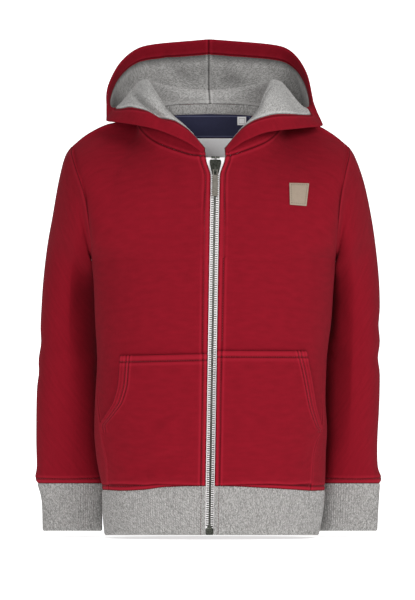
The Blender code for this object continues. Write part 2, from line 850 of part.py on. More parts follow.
def body_pieces():
    fronts = {side: panel(side, True) for side in SIGN}
    backs = {side: panel(side, False) for side in SIGN}
    back = np.concatenate([backs[RIGHT][:, ::-1], backs[LEFT][:, 1:]], axis=1)
    sleeves = {side: elbow_folds(side, sleeve_rings(side)) for side in SIGN}
    band = hem_band_grid(fronts, back)
    seams = Seams()
    for side in SIGN:
        seams.add(fronts[side], flip=side == RIGHT)
        seams.add(sleeves[side], flip=side == RIGHT, closed=True)
        seams.add(cuff_rings(side, 2 * ARMHOLE_STEPS), flip=side == RIGHT, closed=True)
    seams.add(back, flip=True)
    seams.add(band)
    for side in SIGN:
        normals = seams.normals(fronts[side])
        inner = fronts[side] - normals * CLOTH
        edges = ("first_row", "last_row", "last_column")
        wall("front_" + side, draw_back(fronts[side], edges), draw_back(inner, edges), RED)
    normals = seams.normals(back)
    edges = ("first_row", "last_row", "first_column", "last_column")
    wall("back", draw_back(back, edges), draw_back(back - normals * CLOTH, edges), RED)
    for side in SIGN:
        rings = sleeves[side]
        inner = rings - seams.normals(rings) * CLOTH
        rings, inner = (draw_back(grid, ("last_row",)) for grid in (rings, inner))
        outer, inner = (draw_back(grid, ("first_row",), SEAM_GAP) for grid in (rings, inner))
        wall("sleeve_" + side, outer, inner, RED, closed=True)
    normals = seams.normals(band)
    ribbed_wall("hem_band", draw_back(band, ("last_row",)), normals, RIB, BODY_RIBS, GREY, closed=False)
    return fronts, backs, seams


def hem_band_grid(fronts, back):
    """The band's plain outer side: it hangs from the body's lowest row, from zip to zip."""
    seam = np.vstack([fronts[LEFT][0], back[0][::-1][1:-1], fronts[RIGHT][0][::-1]])
    edge = []
    for point in seam:
        side = LEFT if point[0] > 0 else RIGHT
        turn = "front" if point[1] < 0 else "back"
        wide = along(BODY, "height", side, HEM_BOTTOM) / along(BODY, "height", side, point[2])
        deep = along(BODY, "height", turn, HEM_BOTTOM) / along(BODY, "height", turn, point[2])
        edge.append([point[0] * wide, point[1] * deep, HEM_BOTTOM])
    edge[0][0] = front_edge(LEFT, HEM_BOTTOM)
    edge[-1][0] = front_edge(RIGHT, HEM_BOTTOM)
    return np.array([edge, seam.tolist()])


def cuffs(seams):
    for side in SIGN:
        rings = cuff_rings(side, 2 * ARMHOLE_STEPS)
        normals = seams.normals(rings)
        rings = draw_back(rings, ("first_row",))
        ribbed_wall("cuff_" + side, rings, normals, RIB, CUFF_RIBS, GREY, closed=True)


def with_middles(line, steps):
    """The line with a point added in the middle of each of the steps."""
    points = []
    for i, point in enumerate(line):
        points.append(point)
        if i in steps:
            points.append((point + line[i + 1]) / 2)
    return np.array(points)


def hood(fronts, backs, seams):
    middle_gap = np.array([SEAM_GAP / 2, 0, 0])
    for side in SIGN:
        front_neck = fronts[side][-1][:NECK_STEPS + 1]
        back_neck = backs[side][-1][:NECK_STEPS + 1][::-1]
        neck = np.vstack([front_neck, back_neck[1:]])
        normals = seams.normals(neck[None])[0]
        neck, normals = (with_middles(line, HOOD_SPLIT) for line in (neck, normals))
        grid = hood_grid(side, neck, normals)
        away = grid_normals(grid, flip=side == LEFT)
        away[:, 0] = normals
        sign = SIGN[side]
        away[-1, :, 0] = 0
        away /= np.linalg.norm(away, axis=2)[:, :, None]
        grid = draw_back(grid, ("first_row", "first_column"))
        grid[-1] += sign * middle_gap
        gap = LAYER_GAP / 2
        wall("hood_outer_" + side, grid + away * (gap + SHELL), grid + away * gap, RED)
        split = grid.shape[1] - FACING_ROWS
        inner, deeper = grid - away * gap, grid - away * (gap + LINING)
        lining = [draw_back(g[:, :split], ("last_column",), SEAM_GAP) for g in (inner, deeper)]
        facing = [draw_back(g[:, split - 1:], ("first_column",), SEAM_GAP) for g in (inner, deeper)]
        wall("hood_lining_" + side, lining[0], lining[1], GREY)
        wall("hood_facing_" + side, facing[0], facing[1], RED)


def pocket_reach(side, height):
    """How far from the middle a pocket reaches at a height: to its opening, or below it to the side seam."""
    opening = {name: column[::-1] for name, column in POCKET_OPENING[side].items()}
    if height > opening["height"][0]:
        return along(opening, "height", "across", height)
    seam = along(SIDE_SEAM, "height", side, height) * along(BODY, "height", side, height)
    return seam - POCKET_INSET["side"]


def pockets():
    down, over = POCKET_STEPS
    for side in SIGN:
        places, gap = [], []
        top_side, top_zip = POCKET_TOP[side]
        for share in np.linspace(0, 1, down + 1):
            side_height = top_side + share * (POCKET_FOOT["side"] - top_side)
            zip_height = top_zip + share * (POCKET_FOOT["zip"] - top_zip)
            end = SIGN[side] * pocket_reach(side, side_height)
            row, rise = [], []
            for part in np.linspace(0, 1, over + 1):
                height = zip_height + part * (side_height - zip_height)
                start = front_edge(side, height) + SIGN[side] * POCKET_INSET["zip"]
                row.append((start + part * (end - start), height))
                gape = math.sin(math.pi * min(share / POCKET_OPEN, 1)) * ease((part - 0.55) / 0.45)
                rise.append(SEAM_GAP + POCKET_LIFT + POCKET_GAPE * gape)
            places.append(row)
            gap.append(rise)
        laid_patch("pocket_" + side, tree("front_" + side), places, -300, 1, gap, POCKET, RED)


def rectangle(left, right, bottom, top, across, up):
    return [[(x, z) for x in np.linspace(left, right, across + 1)] for z in np.linspace(bottom, top, up + 1)]


def neck_labels():
    search = tree("back")
    neck = side_points(NECK_BACK, RIGHT)[::-1]
    edge = {"across": np.abs(neck[:, 0]), "height": neck[:, 2]}
    left, right = NECK_TAPE_SPAN
    places = []
    for share in (0, 0.5, 1):
        row = []
        for x in np.linspace(left, right, 13):
            top = along(edge, "across", "height", abs(x)) - TAPE_BELOW_SEAM
            row.append((x, top - TAPE_HEIGHT * (1 - share)))
        places.append(row)
    laid_patch("neck_tape", search, places, 0, 1, SEAM_GAP, LABEL, GREY)
    laid_patch("neck_label", search, rectangle(*NECK_LABEL, 6, 3), 0, 1, SEAM_GAP, LABEL, NAVY)
    laid_patch("care_label", search, rectangle(*CARE_LABEL, 5, 3), 0, 1, SEAM_GAP, LABEL, WHITE)
    tag = rectangle(*SIZE_TAG, 2, 2)
    laid_patch("size_tag", tree("neck_label"), tag, 0, 1, SEAM_GAP, LABEL, WHITE)


def chest_patch():
    low_left, low_right, top_right, top_left = (np.array(c) for c in PATCH_CORNERS)
    places = []
    for v in np.linspace(0, 1, 5):
        start, end = low_left + v * (top_left - low_left), low_right + v * (top_right - low_right)
        places.append([start + u * (end - start) for u in np.linspace(0, 1, 5)])
    laid_patch("chest_patch", tree("front_left"), places, -300, 1, 2 * SEAM_GAP, PATCH, PALE)


def zip_line(height):
    """The middle of the zip on the fronts' outer surface."""
    return np.array([zip_x(height), -along(BODY, "height", "front", height), height])


def zip_heights(bottom, top):
    """Heights down the zip, closer together where the chest curves more."""
    return np.concatenate([np.linspace(bottom, CHEST_BEND, 15), np.linspace(CHEST_BEND, top, 11)[1:]])


def zip_tapes():
    heights = zip_heights(HEM_BOTTOM + 0.5, ZIP_TOP - 1.0)
    for side in SIGN:
        searches = [tree("front_" + side), tree("hem_band")]
        sign = SIGN[side]
        outer = []
        for height in heights:
            middle = zip_x(height)
            edge = front_edge(side, height) + sign * 1.0
            reach = (-4, 0, 4) if height < BAND_SEAM + 12 else (0,)
            line = []
            for across in (CHAIN_WIDTH / 2 + SEAM_GAP, None, TAPE_WIDTH):
                x = edge if across is None else middle + sign * across
                probe = edge if sign * x < sign * edge else x
                levels = [height + near for near in reach]
                hits = [lay_on(search, probe, level, 0, -1)[0] for search in searches for level in levels]
                depth = max(hit[1] for hit in hits if hit is not None)
                line.append((x, depth + TAPE_BEHIND, height))
            outer.append(line)
        outer = np.array(outer)
        inner = outer + np.array([0, TAPE, 0])
        wall("zip_tape_" + side, outer, inner, WHITE)


def zip_chain():
    top = SLIDER_HEIGHT - CHAIN_ABOVE_SLIDER
    bottom = HEM_BOTTOM + BOX_HEIGHT + SEAM_GAP
    half = CHAIN_WIDTH / 2
    middle = CLOTH + TAPE_BEHIND + TAPE / 2
    front, back = [], []
    for height in zip_heights(bottom, top):
        point = zip_line(height)
        centre = point[1] + middle + band_step(height)
        edges = (point[0] - half, point[0] + half)
        front.append([(x, centre - CHAIN / 2, height) for x in edges])
        back.append([(x, centre + CHAIN / 2, height) for x in edges])
    wall("zip_chain", np.array(front), np.array(back), DARK_METAL)


def band_step(height):
    """How much deeper the tape lies behind the hem band, which is thicker than the front."""
    return (RIB - CLOTH) * ease((-436 - height) / 12)


def slider_frame():
    """The matrix from the slider's own frame (x across, y down the zip, z outwards) to the part's."""
    top = zip_line(SLIDER_HEIGHT)
    bottom = zip_line(SLIDER_HEIGHT - SLIDER_LENGTH)
    down = Vector(bottom - top).normalized()
    out = Vector((1, 0, 0)).cross(down).normalized()
    out = -out if out.y > 0 else out
    across = down.cross(out)
    depth = CLOTH + TAPE_BEHIND + TAPE / 2
    middle = Vector(top) - out * depth
    frame = Matrix((across, down, out)).transposed().to_4x4()
    frame.translation = middle * MM
    return frame


def slider():
    frame = slider_frame()
    half_chain = CHAIN / 2 + PLATE_GAP
    wide, narrow = SLIDER_WIDE / 2, SLIDER_NARROW / 2
    length = SLIDER_LENGTH
    inset = SHOULDER_INSET
    half_outline = [(wide - inset, 0), (wide, inset), (wide, 5.5), (narrow, length - inset),
                    (narrow - inset, length)]
    outline = half_outline + [(-x, y) for x, y in half_outline[::-1]]
    body = prism("zip_slider", outline, half_chain, half_chain + PLATE, DARK_METAL)
    rear = prism("slider_rear", outline, -half_chain - PLATE, -half_chain, DARK_METAL)
    half_post = POST_WIDTH / 2
    post = box("slider_post", (-half_post, 0.3, -half_chain - 0.5), (half_post, 2.8, half_chain + 0.5),
               DARK_METAL)
    base = half_chain + PLATE
    arch = arch_shape("slider_arch", base)
    combine(body, "UNION", [rear, post, arch])
    for made in (body, rear, post, arch):
        made.matrix_world = frame
    return frame, base


def arch_shape(name, base):
    """The bridge that holds the pull: a flat arch along the slider."""
    steps = 8
    middle, half = (ARCH_TOP + ARCH_BOTTOM) / 2, (ARCH_BOTTOM - ARCH_TOP) / 2
    outline = []
    for reach, rise, order in ((half, ARCH_RISE, 1), (half - ARCH_WALL, ARCH_RISE - ARCH_WALL, -1)):
        ring = []
        for i in range(steps + 1):
            angle = math.pi * i / steps
            along_y = middle - reach * math.copysign(abs(math.cos(angle)) ** 0.6, math.cos(angle))
            ring.append((along_y, base - 0.4 + (rise + 0.4) * math.sin(angle) ** 0.6))
        outline += ring[::order]
    half_width = ARCH_WIDTH / 2
    count = len(outline)
    vertices = [(side * half_width, y, z) for side in (-1, 1) for y, z in outline]
    faces = [tuple(range(count)), tuple(range(count, 2 * count))[::-1]]
    faces += [(i, count + i, count + (i + 1) % count, (i + 1) % count) for i in range(count)]
    return make_object(name, vertices, faces, *DARK_METAL)


def pull_rest(hinge, plate_height, plate_end, end):
    """The angle at which the tab lies just clear of the slider's plate and the chain below it."""
    clear = PULL / 2 - 0.1 + PULL_CLEAR
    below = [Vector((0, plate_end, plate_height))]
    for height in zip_heights(HEM_BOTTOM, ZIP_TOP):
        point = zip_line(height) + np.array([0, CLOTH + TAPE_BEHIND + (TAPE - CHAIN) / 2, 0])
        below.append((hinge.inverted() @ (Vector(point) * MM)) / MM)
    reached = [v for v in below if 0 < v.y < end + 4]
    return max(math.atan2(v.z, v.y) + math.asin(min(clear / v.yz.length, 1)) for v in reached)


def pull(frame, base):
    """The tab, in a frame on its hinge: its bar runs through the arch."""
    bar_y = ARCH_BOTTOM - ARCH_WALL - PULL_BAR / 2 - 1.4
    bar_z = base + 0.75 + PULL_BAR / 2
    half_window = ARCH_WIDTH / 2 + 0.45
    half_neck = half_window + 1.1
    half = PULL_WIDTH / 2
    end = PULL_LENGTH + PULL_NECK
    low, high = -PULL / 2 + 0.1, PULL / 2 + 0.1
    start = -PULL_BAR / 2
    outline = [(-half_neck, start), (half_neck, start), (half_neck, PULL_NECK - 1.2), (half, PULL_NECK)]
    for i in range(7):
        angle = math.pi / 2 * i / 6
        round_x, round_y = TAB_RADIUS * (1 - math.cos(angle)), TAB_RADIUS * (1 - math.sin(angle))
        outline.append((half - round_x, end - round_y))
    outline += [(-x, y) for x, y in outline[:1:-1]]
    tab = prism("zip_pull", outline, low, high, PULL_METAL)
    window = box("pull_window", (-half_window, PULL_BAR / 2, low - 1),
                 (half_window, PULL_NECK - 1.8, high + 1), PULL_METAL)
    combine(tab, "DIFFERENCE", [window])
    hinge = frame @ Matrix.Translation(Vector((0, bar_y, bar_z)) * MM)
    hinge = hinge @ Matrix.Rotation(pull_rest(hinge, base - bar_z, SLIDER_LENGTH - bar_y, end), 4, "X")
    for made in (tab, window):
        made.matrix_world = hinge


def zip_box():
    middle = zip_x(HEM_BOTTOM)
    top = HEM_BOTTOM + BOX_HEIGHT
    face = zip_line(top)[1] + RIB
    half = BOX_WIDTH / 2
    box("zip_box", (middle - half, face - BOX_DEPTH, HEM_BOTTOM), (middle + half, face, top), DARK_METAL)


def main():
    for made in list(bpy.data.objects):
        bpy.data.objects.remove(made)
    fronts, backs, seams = body_pieces()
    cuffs(seams)
    hood(fronts, backs, seams)
    pockets()
    neck_labels()
    chest_patch()
    zip_tapes()
    zip_chain()
    frame, base = slider()
    pull(frame, base)
    zip_box()


main()
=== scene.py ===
"""A child's zipped hoodie, size 122, filled out and hollow, with its hood down: its looks.

Cloth is worked out in millimetres, as a grid of points for each cut piece, and made in metres.
+Z is up, the front faces -Y and the wearer's left is +X.
"""

import math

import bmesh
import bpy
import numpy as np
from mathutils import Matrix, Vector
from mathutils.bvhtree import BVHTree


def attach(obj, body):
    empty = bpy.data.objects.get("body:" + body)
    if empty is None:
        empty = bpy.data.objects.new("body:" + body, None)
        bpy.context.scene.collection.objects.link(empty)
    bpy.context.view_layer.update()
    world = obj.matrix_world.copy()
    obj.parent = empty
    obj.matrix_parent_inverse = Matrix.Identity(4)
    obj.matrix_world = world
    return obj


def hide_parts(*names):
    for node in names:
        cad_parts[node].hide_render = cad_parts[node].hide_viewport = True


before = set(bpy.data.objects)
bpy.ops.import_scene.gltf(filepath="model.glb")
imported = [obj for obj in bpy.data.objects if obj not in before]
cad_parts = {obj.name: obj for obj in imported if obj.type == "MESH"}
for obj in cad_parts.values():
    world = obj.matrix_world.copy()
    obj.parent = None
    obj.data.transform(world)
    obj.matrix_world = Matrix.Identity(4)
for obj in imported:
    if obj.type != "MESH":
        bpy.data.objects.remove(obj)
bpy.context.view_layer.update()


# ------------------------------------------------------------ Camera, floor and light
# A level camera looks straight at the front. The floor is pale paper that rises a little away from
# it, so that a level view still sees the soft shadow under the hem, with a white screen far behind.

MM = 0.001
VIEW_MIDDLE = Vector((-3, -3000, -216)) * MM
VIEW_HEIGHT = 720 * MM
FLOOR_HEIGHT = -501.5 * MM
FLOOR_SIZE = 3.0
FLOOR_END = 0.15  # behind the garment's middle
FLOOR_RISE = math.radians(1.6)
FLOOR_GLOW = 0.66
SCREEN_DISTANCE = 6.0
SCREEN_SIZE = 3.0
SCREEN_GLOW = 1.0
PAPER = (0.9, 0.9, 0.9, 1)
ROOM_LIGHT = 0.49
LAMPS = {  # place, size and power in watts
    "key_lamp": ((1.4, -2.0, 0.9), 0.9, 30),
    "fill_lamp": ((-0.5, -3.2, 0.35), 0.8, 42),
    "top_lamp": ((0.2, 0.3, 2.3), 1.4, 4),
}

scene = bpy.context.scene
scene.view_settings.view_transform = "Standard"


def add_object(name, data):
    made = bpy.data.objects.new(name, data)
    scene.collection.objects.link(made)
    return made


camera = add_object("camera", bpy.data.cameras.new("camera"))
camera.data.type = "ORTHO"
camera.data.ortho_scale = VIEW_HEIGHT
camera.location = VIEW_MIDDLE
camera.rotation_euler = (math.radians(90), 0, 0)
scene.camera = camera

room = bpy.data.worlds.new("room")
room.use_nodes = True
room.node_tree.nodes["Background"].inputs["Color"].default_value = (1, 1, 1, 1)
room.node_tree.nodes["Background"].inputs["Strength"].default_value = ROOM_LIGHT
scene.world = room

for name, (place, size, power) in LAMPS.items():
    lamp = add_object(name, bpy.data.lights.new(name, "AREA"))
    lamp.data.size = size
    lamp.data.energy = power
    lamp.location = place
    lamp.rotation_euler = (Vector((0, 0, VIEW_MIDDLE.z)) - Vector(place)).to_track_quat("-Z", "Y").to_euler()


def stage_sheet(name, corners, glow):
    """A flat piece of the studio, which isn't part of the garment."""
    mesh = bpy.data.meshes.new(name)
    mesh.from_pydata(corners, [], [(0, 1, 2, 3)])
    paper = bpy.data.materials.new(name)
    paper.use_nodes = True
    shader = paper.node_tree.nodes["Principled BSDF"]
    shader.inputs["Base Color"].default_value = PAPER
    shader.inputs["Roughness"].default_value = 0.9
    shader.inputs["Emission Color"].default_value = (1, 1, 1, 1)
    shader.inputs["Emission Strength"].default_value = glow
    mesh.materials.append(paper)
    add_object(name, mesh)


half = FLOOR_SIZE / 2
stage_sheet("floor", [(x, y, FLOOR_HEIGHT + y * math.tan(FLOOR_RISE))
                      for x, y in ((-half, -half), (half, -half), (half, FLOOR_END), (-half, FLOOR_END))], FLOOR_GLOW)
half = SCREEN_SIZE / 2
stage_sheet("screen", [(x, SCREEN_DISTANCE, z)
                       for x, z in ((-half, -half), (half, -half), (half, half), (-half, half))], SCREEN_GLOW)


# ------------------------------------------------------------ Fronts, back and sleeves
# Two fronts, a back and two set-in sleeves of brushed sweatshirt cloth. They are sewn together at
# the sides, shoulders and armholes, and each front's edge is sewn to its zip tape.

RIGHT, LEFT = "right", "left"
SIGN = {RIGHT: -1, LEFT: 1}
CLOTH = 1.6  # its thickness
SEAM_GAP = 0.3
FULLNESS = 2.3  # exponent of the body's rounded cross section
HEM_BOTTOM = -498.0
UNDERARM = -166.0
BAND_SEAM = -444.0
ZIP_TOP = -44.0
ZIP_TOP_X = 6.6
ZIP_BOTTOM_X = -0.8
TAPE_SHOWS = 5.2  # from the middle of the zip to a front's edge
TAPE_SPREAD = 11.4  # the same at the top, where the fronts part
SPREAD_START = -68.0
NECK_STEPS = 28
SHOULDER_STEPS = 16
LOWER_ROWS = 70
ARMHOLE_STEPS = 40
SLANT_START = 0.25  # share of the armhole's height from which the rows turn towards the top edge
SHARP = 55  # degrees from which an edge of the cloth is shown as a sharp one
SHARP_SOFT = 70  # the same on the softer pieces
HEM_STITCH = 6.0  # from the hem seam up to its topstitching
SEAM_ROLL = 0.75  # how far a cut edge turns in at its seam
SEAM_REACH = 1.3
GROOVE = 0.8  # how far stitching pulls the cloth in
GROOVE_REACH = 1.1
SHADE_REACH = 0.95  # of the painted shade that lies in a groove
# how much painted shade lies in the groove at a cut edge and along stitching
EDGE_SHADE = 0.9
STITCH_SHADE = 0.75
RIDGE_HIGHLIGHT = 0.5  # of the painted highlight on the ridge beside it
RIDGE_PLACE = 2.7
RIDGE_REACH = 1.3
PUCKER_REACH = 5
CREASE_BOW = 0.06  # of its length
CREASE_END = 0.35  # the share of its length in which it fades out
EDGES = ("first_row", "last_row", "first_column", "last_column")


def table(names, *rows):
    """The rows as one array for each named column."""
    columns = np.array(rows, float).T
    return dict(zip(names.split(), columns))


BODY = table(
    "height right left front back",
    (-498, 126, 130, 84, 87),
    (-470, 128.5, 135, 89, 90),
    (-444, 129, 137.5, 92, 92),
    (-424, 133, 138.5, 97, 95),
    (-400, 137, 139, 100, 97),
    (-372, 139, 140.5, 102, 98),
    (-336, 138, 138.6, 103, 99),
    (-289, 135.5, 140, 103, 99),
    (-240, 138, 145.6, 103, 99),
    (-200, 139.5, 148.3, 102, 98),
    (-166, 142.5, 151, 100, 97),
    (-110, 148, 155, 93, 93),
    (-75, 152, 158, 86, 87),
    (-43, 160, 160, 76, 79),
    (0, 160, 160, 66, 72),
    (30, 160, 160, 60, 66),
)
HEM_SEAM = table(
    "across height",
    (-129, -444),
    (-106, -445.4),
    (-80, -444.2),
    (-54, -441),
    (-15, -439.7),
    (10, -439.7),
    (65, -442),
    (137, -446.5),
)
SIDE_SEAM = table(  # how far round to the side the seam lies, as a share of the half width
    "height right left",
    (-498, 0.953, 0.88),
    (-444, 0.945, 0.88),
    (-407, 0.915, 0.885),
    (-389, 0.93, 0.905),
    (-368, 0.945, 0.955),
    (-330, 0.985, 0.985),
    (-290, 1, 1),
    (-166, 1, 1),
)
NECK_FRONT = table(
    "right left depth height",
    (5.0, 18.2, -76, -43),
    (28, 32, -73.5, -40),
    (65, 67, -58, -26.5),
    (83, 84, -31, -12),
    (88, 90, 0, 0),
)
NECK_BACK = table(
    "right left depth height",
    (88, 90, 0, 0),
    (85, 87, 27, 8),
    (66, 67, 53, 15),
    (35, 35, 65, 18.5),
    (0, 0, 68, 19.5),
)
SHOULDER = table(
    "right left depth height",
    (88, 90, 0, 0),
    (107, 108, 1, -1.2),
    (126, 128, 2, -5),
    (149, 149, 3, -17),
    (166, 166, 3, -31),
)
ARMHOLE_FRONT = table(
    "right left depth height",
    (142.5, 151, 0, -166),
    (143, 152, -34, -150),
    (146, 154.5, -54, -118),
    (151.5, 158, -57, -88),
    (160, 163, -43, -62),
    (166, 167.5, -20, -41),
    (166, 166, 3, -31),
)
ARMHOLE_BACK = table(
    "right left depth height",
    (142.5, 151, 0, -166),
    (142.9, 151.5, 36, -155),
    (144.4, 153, 56, -128),
    (146.8, 155, 62, -95),
    (158, 160, 52, -65),
    (165, 166, 28, -42),
    (166, 166, 3, -31),
)


def smooth(points, places):
    """The Catmull-Rom curve through the points, or the rows of a grid, at places counted in points."""
    points = np.asarray(points, float)
    places = np.asarray(places, float)
    padded = np.concatenate([[2 * points[0] - points[1]], points, [2 * points[-1] - points[-2]]])
    first = np.clip(np.floor(places).astype(int), 0, len(points) - 2)
    t = (places - first).reshape(-1, *[1] * (points.ndim - 1))
    a, b, c, d = (padded[first + i] for i in range(4))
    return 0.5 * (2 * b + (c - a) * t + (2 * a - 5 * b + 4 * c - d) * t**2 + (3 * b - a - 3 * c + d) * t**3)


def lengths_along(line):
    """How far along a line each of its points lies."""
    return np.concatenate([[0], np.cumsum(np.linalg.norm(np.diff(line, axis=0), axis=1))])


def between(at, walk, line):
    """The points of a line, or what goes with them, at some lengths along it."""
    return np.stack([np.interp(at, walk, line[:, i]) for i in range(3)], axis=1)


def evenly(line, count):
    """count points evenly along a line of points."""
    walk = lengths_along(line)
    return between(np.linspace(0, walk[-1], count), walk, line)


def spline(points, count):
    """count points evenly along a smooth curve through the points."""
    return evenly(smooth(points, np.linspace(0, len(points) - 1, 40 * len(points))), count)


def along(columns, key, name, value):
    """A column of a table at a value of its key column, on a smooth curve that never overshoots."""
    x, y = columns[key], columns[name]
    slopes = np.diff(y) / np.diff(x)
    before, after = slopes[:-1], slopes[1:]
    same = before * after > 0
    inner = np.where(same, 2 * before * after / np.where(same, before + after, 1), 0)
    tangents = np.concatenate([[slopes[0]], inner, [slopes[-1]]])
    value = np.clip(value, x[0], x[-1])
    i = np.clip(np.searchsorted(x, value) - 1, 0, len(x) - 2)
    span = x[i + 1] - x[i]
    t = (value - x[i]) / span
    return (
        y[i] * (1 + 2 * t) * (1 - t) ** 2
        + y[i + 1] * t * t * (3 - 2 * t)
        + span * (tangents[i] * t * (1 - t) ** 2 - tangents[i + 1] * t * t * (1 - t))
    )


def side_points(columns, side):
    """The points of a table whose half widths are given for both sides."""
    return np.stack([SIGN[side] * columns[side], columns["depth"], columns["height"]], axis=1)


def ease(value):
    value = np.clip(value, 0, 1)
    return value * value * (3 - 2 * value)


def fade(distance, reach):
    """1 where the distance is nought, less and less on both sides of it."""
    return np.exp(-((distance / reach) ** 2))


def unit(vectors):
    """A grid's vectors, each made one long."""
    return vectors / np.linalg.norm(vectors, axis=2)[:, :, None]


def zip_x(height):
    share = (height - ZIP_TOP) / (HEM_BOTTOM - ZIP_TOP)
    return ZIP_TOP_X + share * (ZIP_BOTTOM_X - ZIP_TOP_X)


def front_edge(side, height):
    """x of a front's edge beside the zip."""
    spread = ease((height - SPREAD_START) / (ZIP_TOP - SPREAD_START))
    return zip_x(height) + SIGN[side] * (TAPE_SHOWS + spread * (TAPE_SPREAD - TAPE_SHOWS))


def ring_points(side, height, angle):
    """The body's surface at heights, at angles from the middle of the front."""
    power = 2 / FULLNESS
    in_front = angle < math.pi / 2
    width = along(BODY, "height", side, height)
    depth = np.where(in_front, along(BODY, "height", "front", height), along(BODY, "height", "back", height))
    x = SIGN[side] * width * np.abs(np.sin(angle)) ** power
    y = depth * np.abs(np.cos(angle)) ** power * np.where(in_front, -1, 1)
    return np.stack(np.broadcast_arrays(x, y, height), axis=-1)


def seam_angle(side, height):
    """The angle of the side seam."""
    share = np.minimum(along(SIDE_SEAM, "height", side, height), 1)
    return np.arcsin(share ** (FULLNESS / 2))


def edge_angle(side, height):
    """The angle at which the ring meets the front's edge by the zip."""
    width = along(BODY, "height", side, height)
    return np.arcsin((np.abs(front_edge(side, height)) / width) ** (FULLNESS / 2))


def lower_rows(side, front):
    """The rows of a front or a half back between the hem seam and the underarm."""
    share = np.linspace(0, 1, LOWER_ROWS + 1)[:, None]
    s = np.linspace(0, 1, NECK_STEPS + SHOULDER_STEPS + 1)[None, :]
    level = UNDERARM * share + (1 - share) * BAND_SEAM
    start = edge_angle(side, level) if front else math.pi
    angle = start + s * (seam_angle(side, level) - start)
    across = ring_points(side, level, angle if front else seam_angle(side, level) + 0 * s)[..., 0]
    seam = along(HEM_SEAM, "across", "height", across)
    if not front:
        seam = BAND_SEAM + s**2 * (seam - BAND_SEAM)
    height = UNDERARM * share + (1 - share) * seam
    rows = ring_points(side, height, angle)
    if front:
        rows[:, 0, 0] = front_edge(side, height[:, 0])
    return rows


def upper_rows(side, front, top):
    """The rows from the underarm to the neckline and shoulder, which turn into the top edge."""
    armhole = spline(side_points(ARMHOLE_FRONT if front else ARMHOLE_BACK, side), ARMHOLE_STEPS + 1)
    turn = np.linspace(0, math.pi / 2, len(top))[:, None]
    rows = []
    for i in range(1, ARMHOLE_STEPS):
        share = i / ARMHOLE_STEPS
        height = UNDERARM + share * (top[0][2] - UNDERARM)
        start = ring_points(side, height, edge_angle(side, height) if front else math.pi)
        if front:
            start[0] = front_edge(side, height)
        row = start + (armhole[i] - start) * np.sin(turn) ** (2 / FULLNESS)
        row[:, 1] = armhole[i][1] + (start[1] - armhole[i][1]) * np.abs(np.cos(turn[:, 0])) ** (2 / FULLNESS)
        blend = ease((share - SLANT_START) / (1 - SLANT_START))
        weights = np.array([blend, blend**1.5, blend**0.75])
        from_start = row * (1 - weights) + (top - top[0] + start) * weights
        from_top = row * (1 - weights) + top * weights
        settle = np.linspace(0, 1, len(top))[:, None] ** 3
        rows.append(from_start * (1 - settle) + from_top * settle)
        rows[-1][0], rows[-1][-1] = start, armhole[i]
    return np.array(rows)


def panel(side, front):
    """A front, or half the back: rows up from the hem seam, columns from the middle to the side."""
    neck = side_points(NECK_FRONT if front else NECK_BACK, side)
    neck = spline(neck if front else neck[::-1], NECK_STEPS + 1)
    shoulder = spline(side_points(SHOULDER, side), SHOULDER_STEPS + 1)
    top = np.vstack([neck[:-1], shoulder])
    return np.concatenate([lower_rows(side, front), upper_rows(side, front, top), top[None]])


def face_normals(grid, flip, closed):
    """Unit normals of a grid's faces, outward where rows x columns is outward."""
    if closed:
        grid = np.concatenate([grid, grid[:, :1]], axis=1)
    across, back_across = grid[1:, 1:] - grid[:-1, :-1], grid[1:, :-1] - grid[:-1, 1:]
    normals = np.cross(across, back_across)
    length = np.linalg.norm(normals, axis=2)[:, :, None]
    return normals / np.maximum(length, 1e-9) * (-1 if flip else 1)


class Seams:
    """Normals shared by all the pieces that meet at a seam, so that they meet squarely."""

    def __init__(self):
        self.sums = {}

    @staticmethod
    def keys(points):
        return [tuple(key) for key in (np.round(points, 2) + 0.0).tolist()]

    def add(self, grid, flip=False, closed=False):
        faces = face_normals(grid, flip, closed)
        wide = np.concatenate([grid, grid[:, :1]], axis=1) if closed else grid
        rows, columns = faces.shape[:2]
        for down, over in ((0, 0), (0, 1), (1, 1), (1, 0)):
            corners = wide[down:down + rows, over:over + columns].reshape(-1, 3)
            for key, normal in zip(self.keys(corners), faces.reshape(-1, 3)):
                self.sums[key] = self.sums.get(key, 0) + normal

    def normals(self, grid):
        found = np.array([self.sums[key] for key in self.keys(grid.reshape(-1, 3))])
        return (found / np.linalg.norm(found, axis=1)[:, None]).reshape(grid.shape)


def grid_normals(grid, flip=False, closed=False):
    seams = Seams()
    seams.add(grid, flip, closed)
    return seams.normals(grid)


def walked(grid, axis):
    """How far each point lies from the grid's first row (axis 0) or first column (axis 1)."""
    steps = np.linalg.norm(np.diff(grid, axis=axis), axis=2)
    start = np.zeros_like(np.take(steps, [0], axis))
    return np.concatenate([start, np.cumsum(steps, axis)], axis)


def from_edge(grid, edge):
    """How far each point lies from the named edge, along the grid."""
    axis = 0 if edge.endswith("row") else 1
    distance = walked(grid, axis)
    return distance if edge.startswith("first") else np.take(distance, [-1], axis) - distance


def turn_in(grid, normals, edges, roll=SEAM_ROLL, reach=SEAM_REACH):
    """The grid with the named edges rolled inwards, as cloth is at a seam."""
    grid = grid.copy()
    for edge in edges:
        grid -= normals * (roll * fade(from_edge(grid, edge), reach))[:, :, None]
    return grid


def press(grid, normals, distance):
    """The grid pressed in where the distance is nought, as cloth is along a row of stitches."""
    return grid - normals * (GROOVE * fade(distance, GROOVE_REACH))[:, :, None]


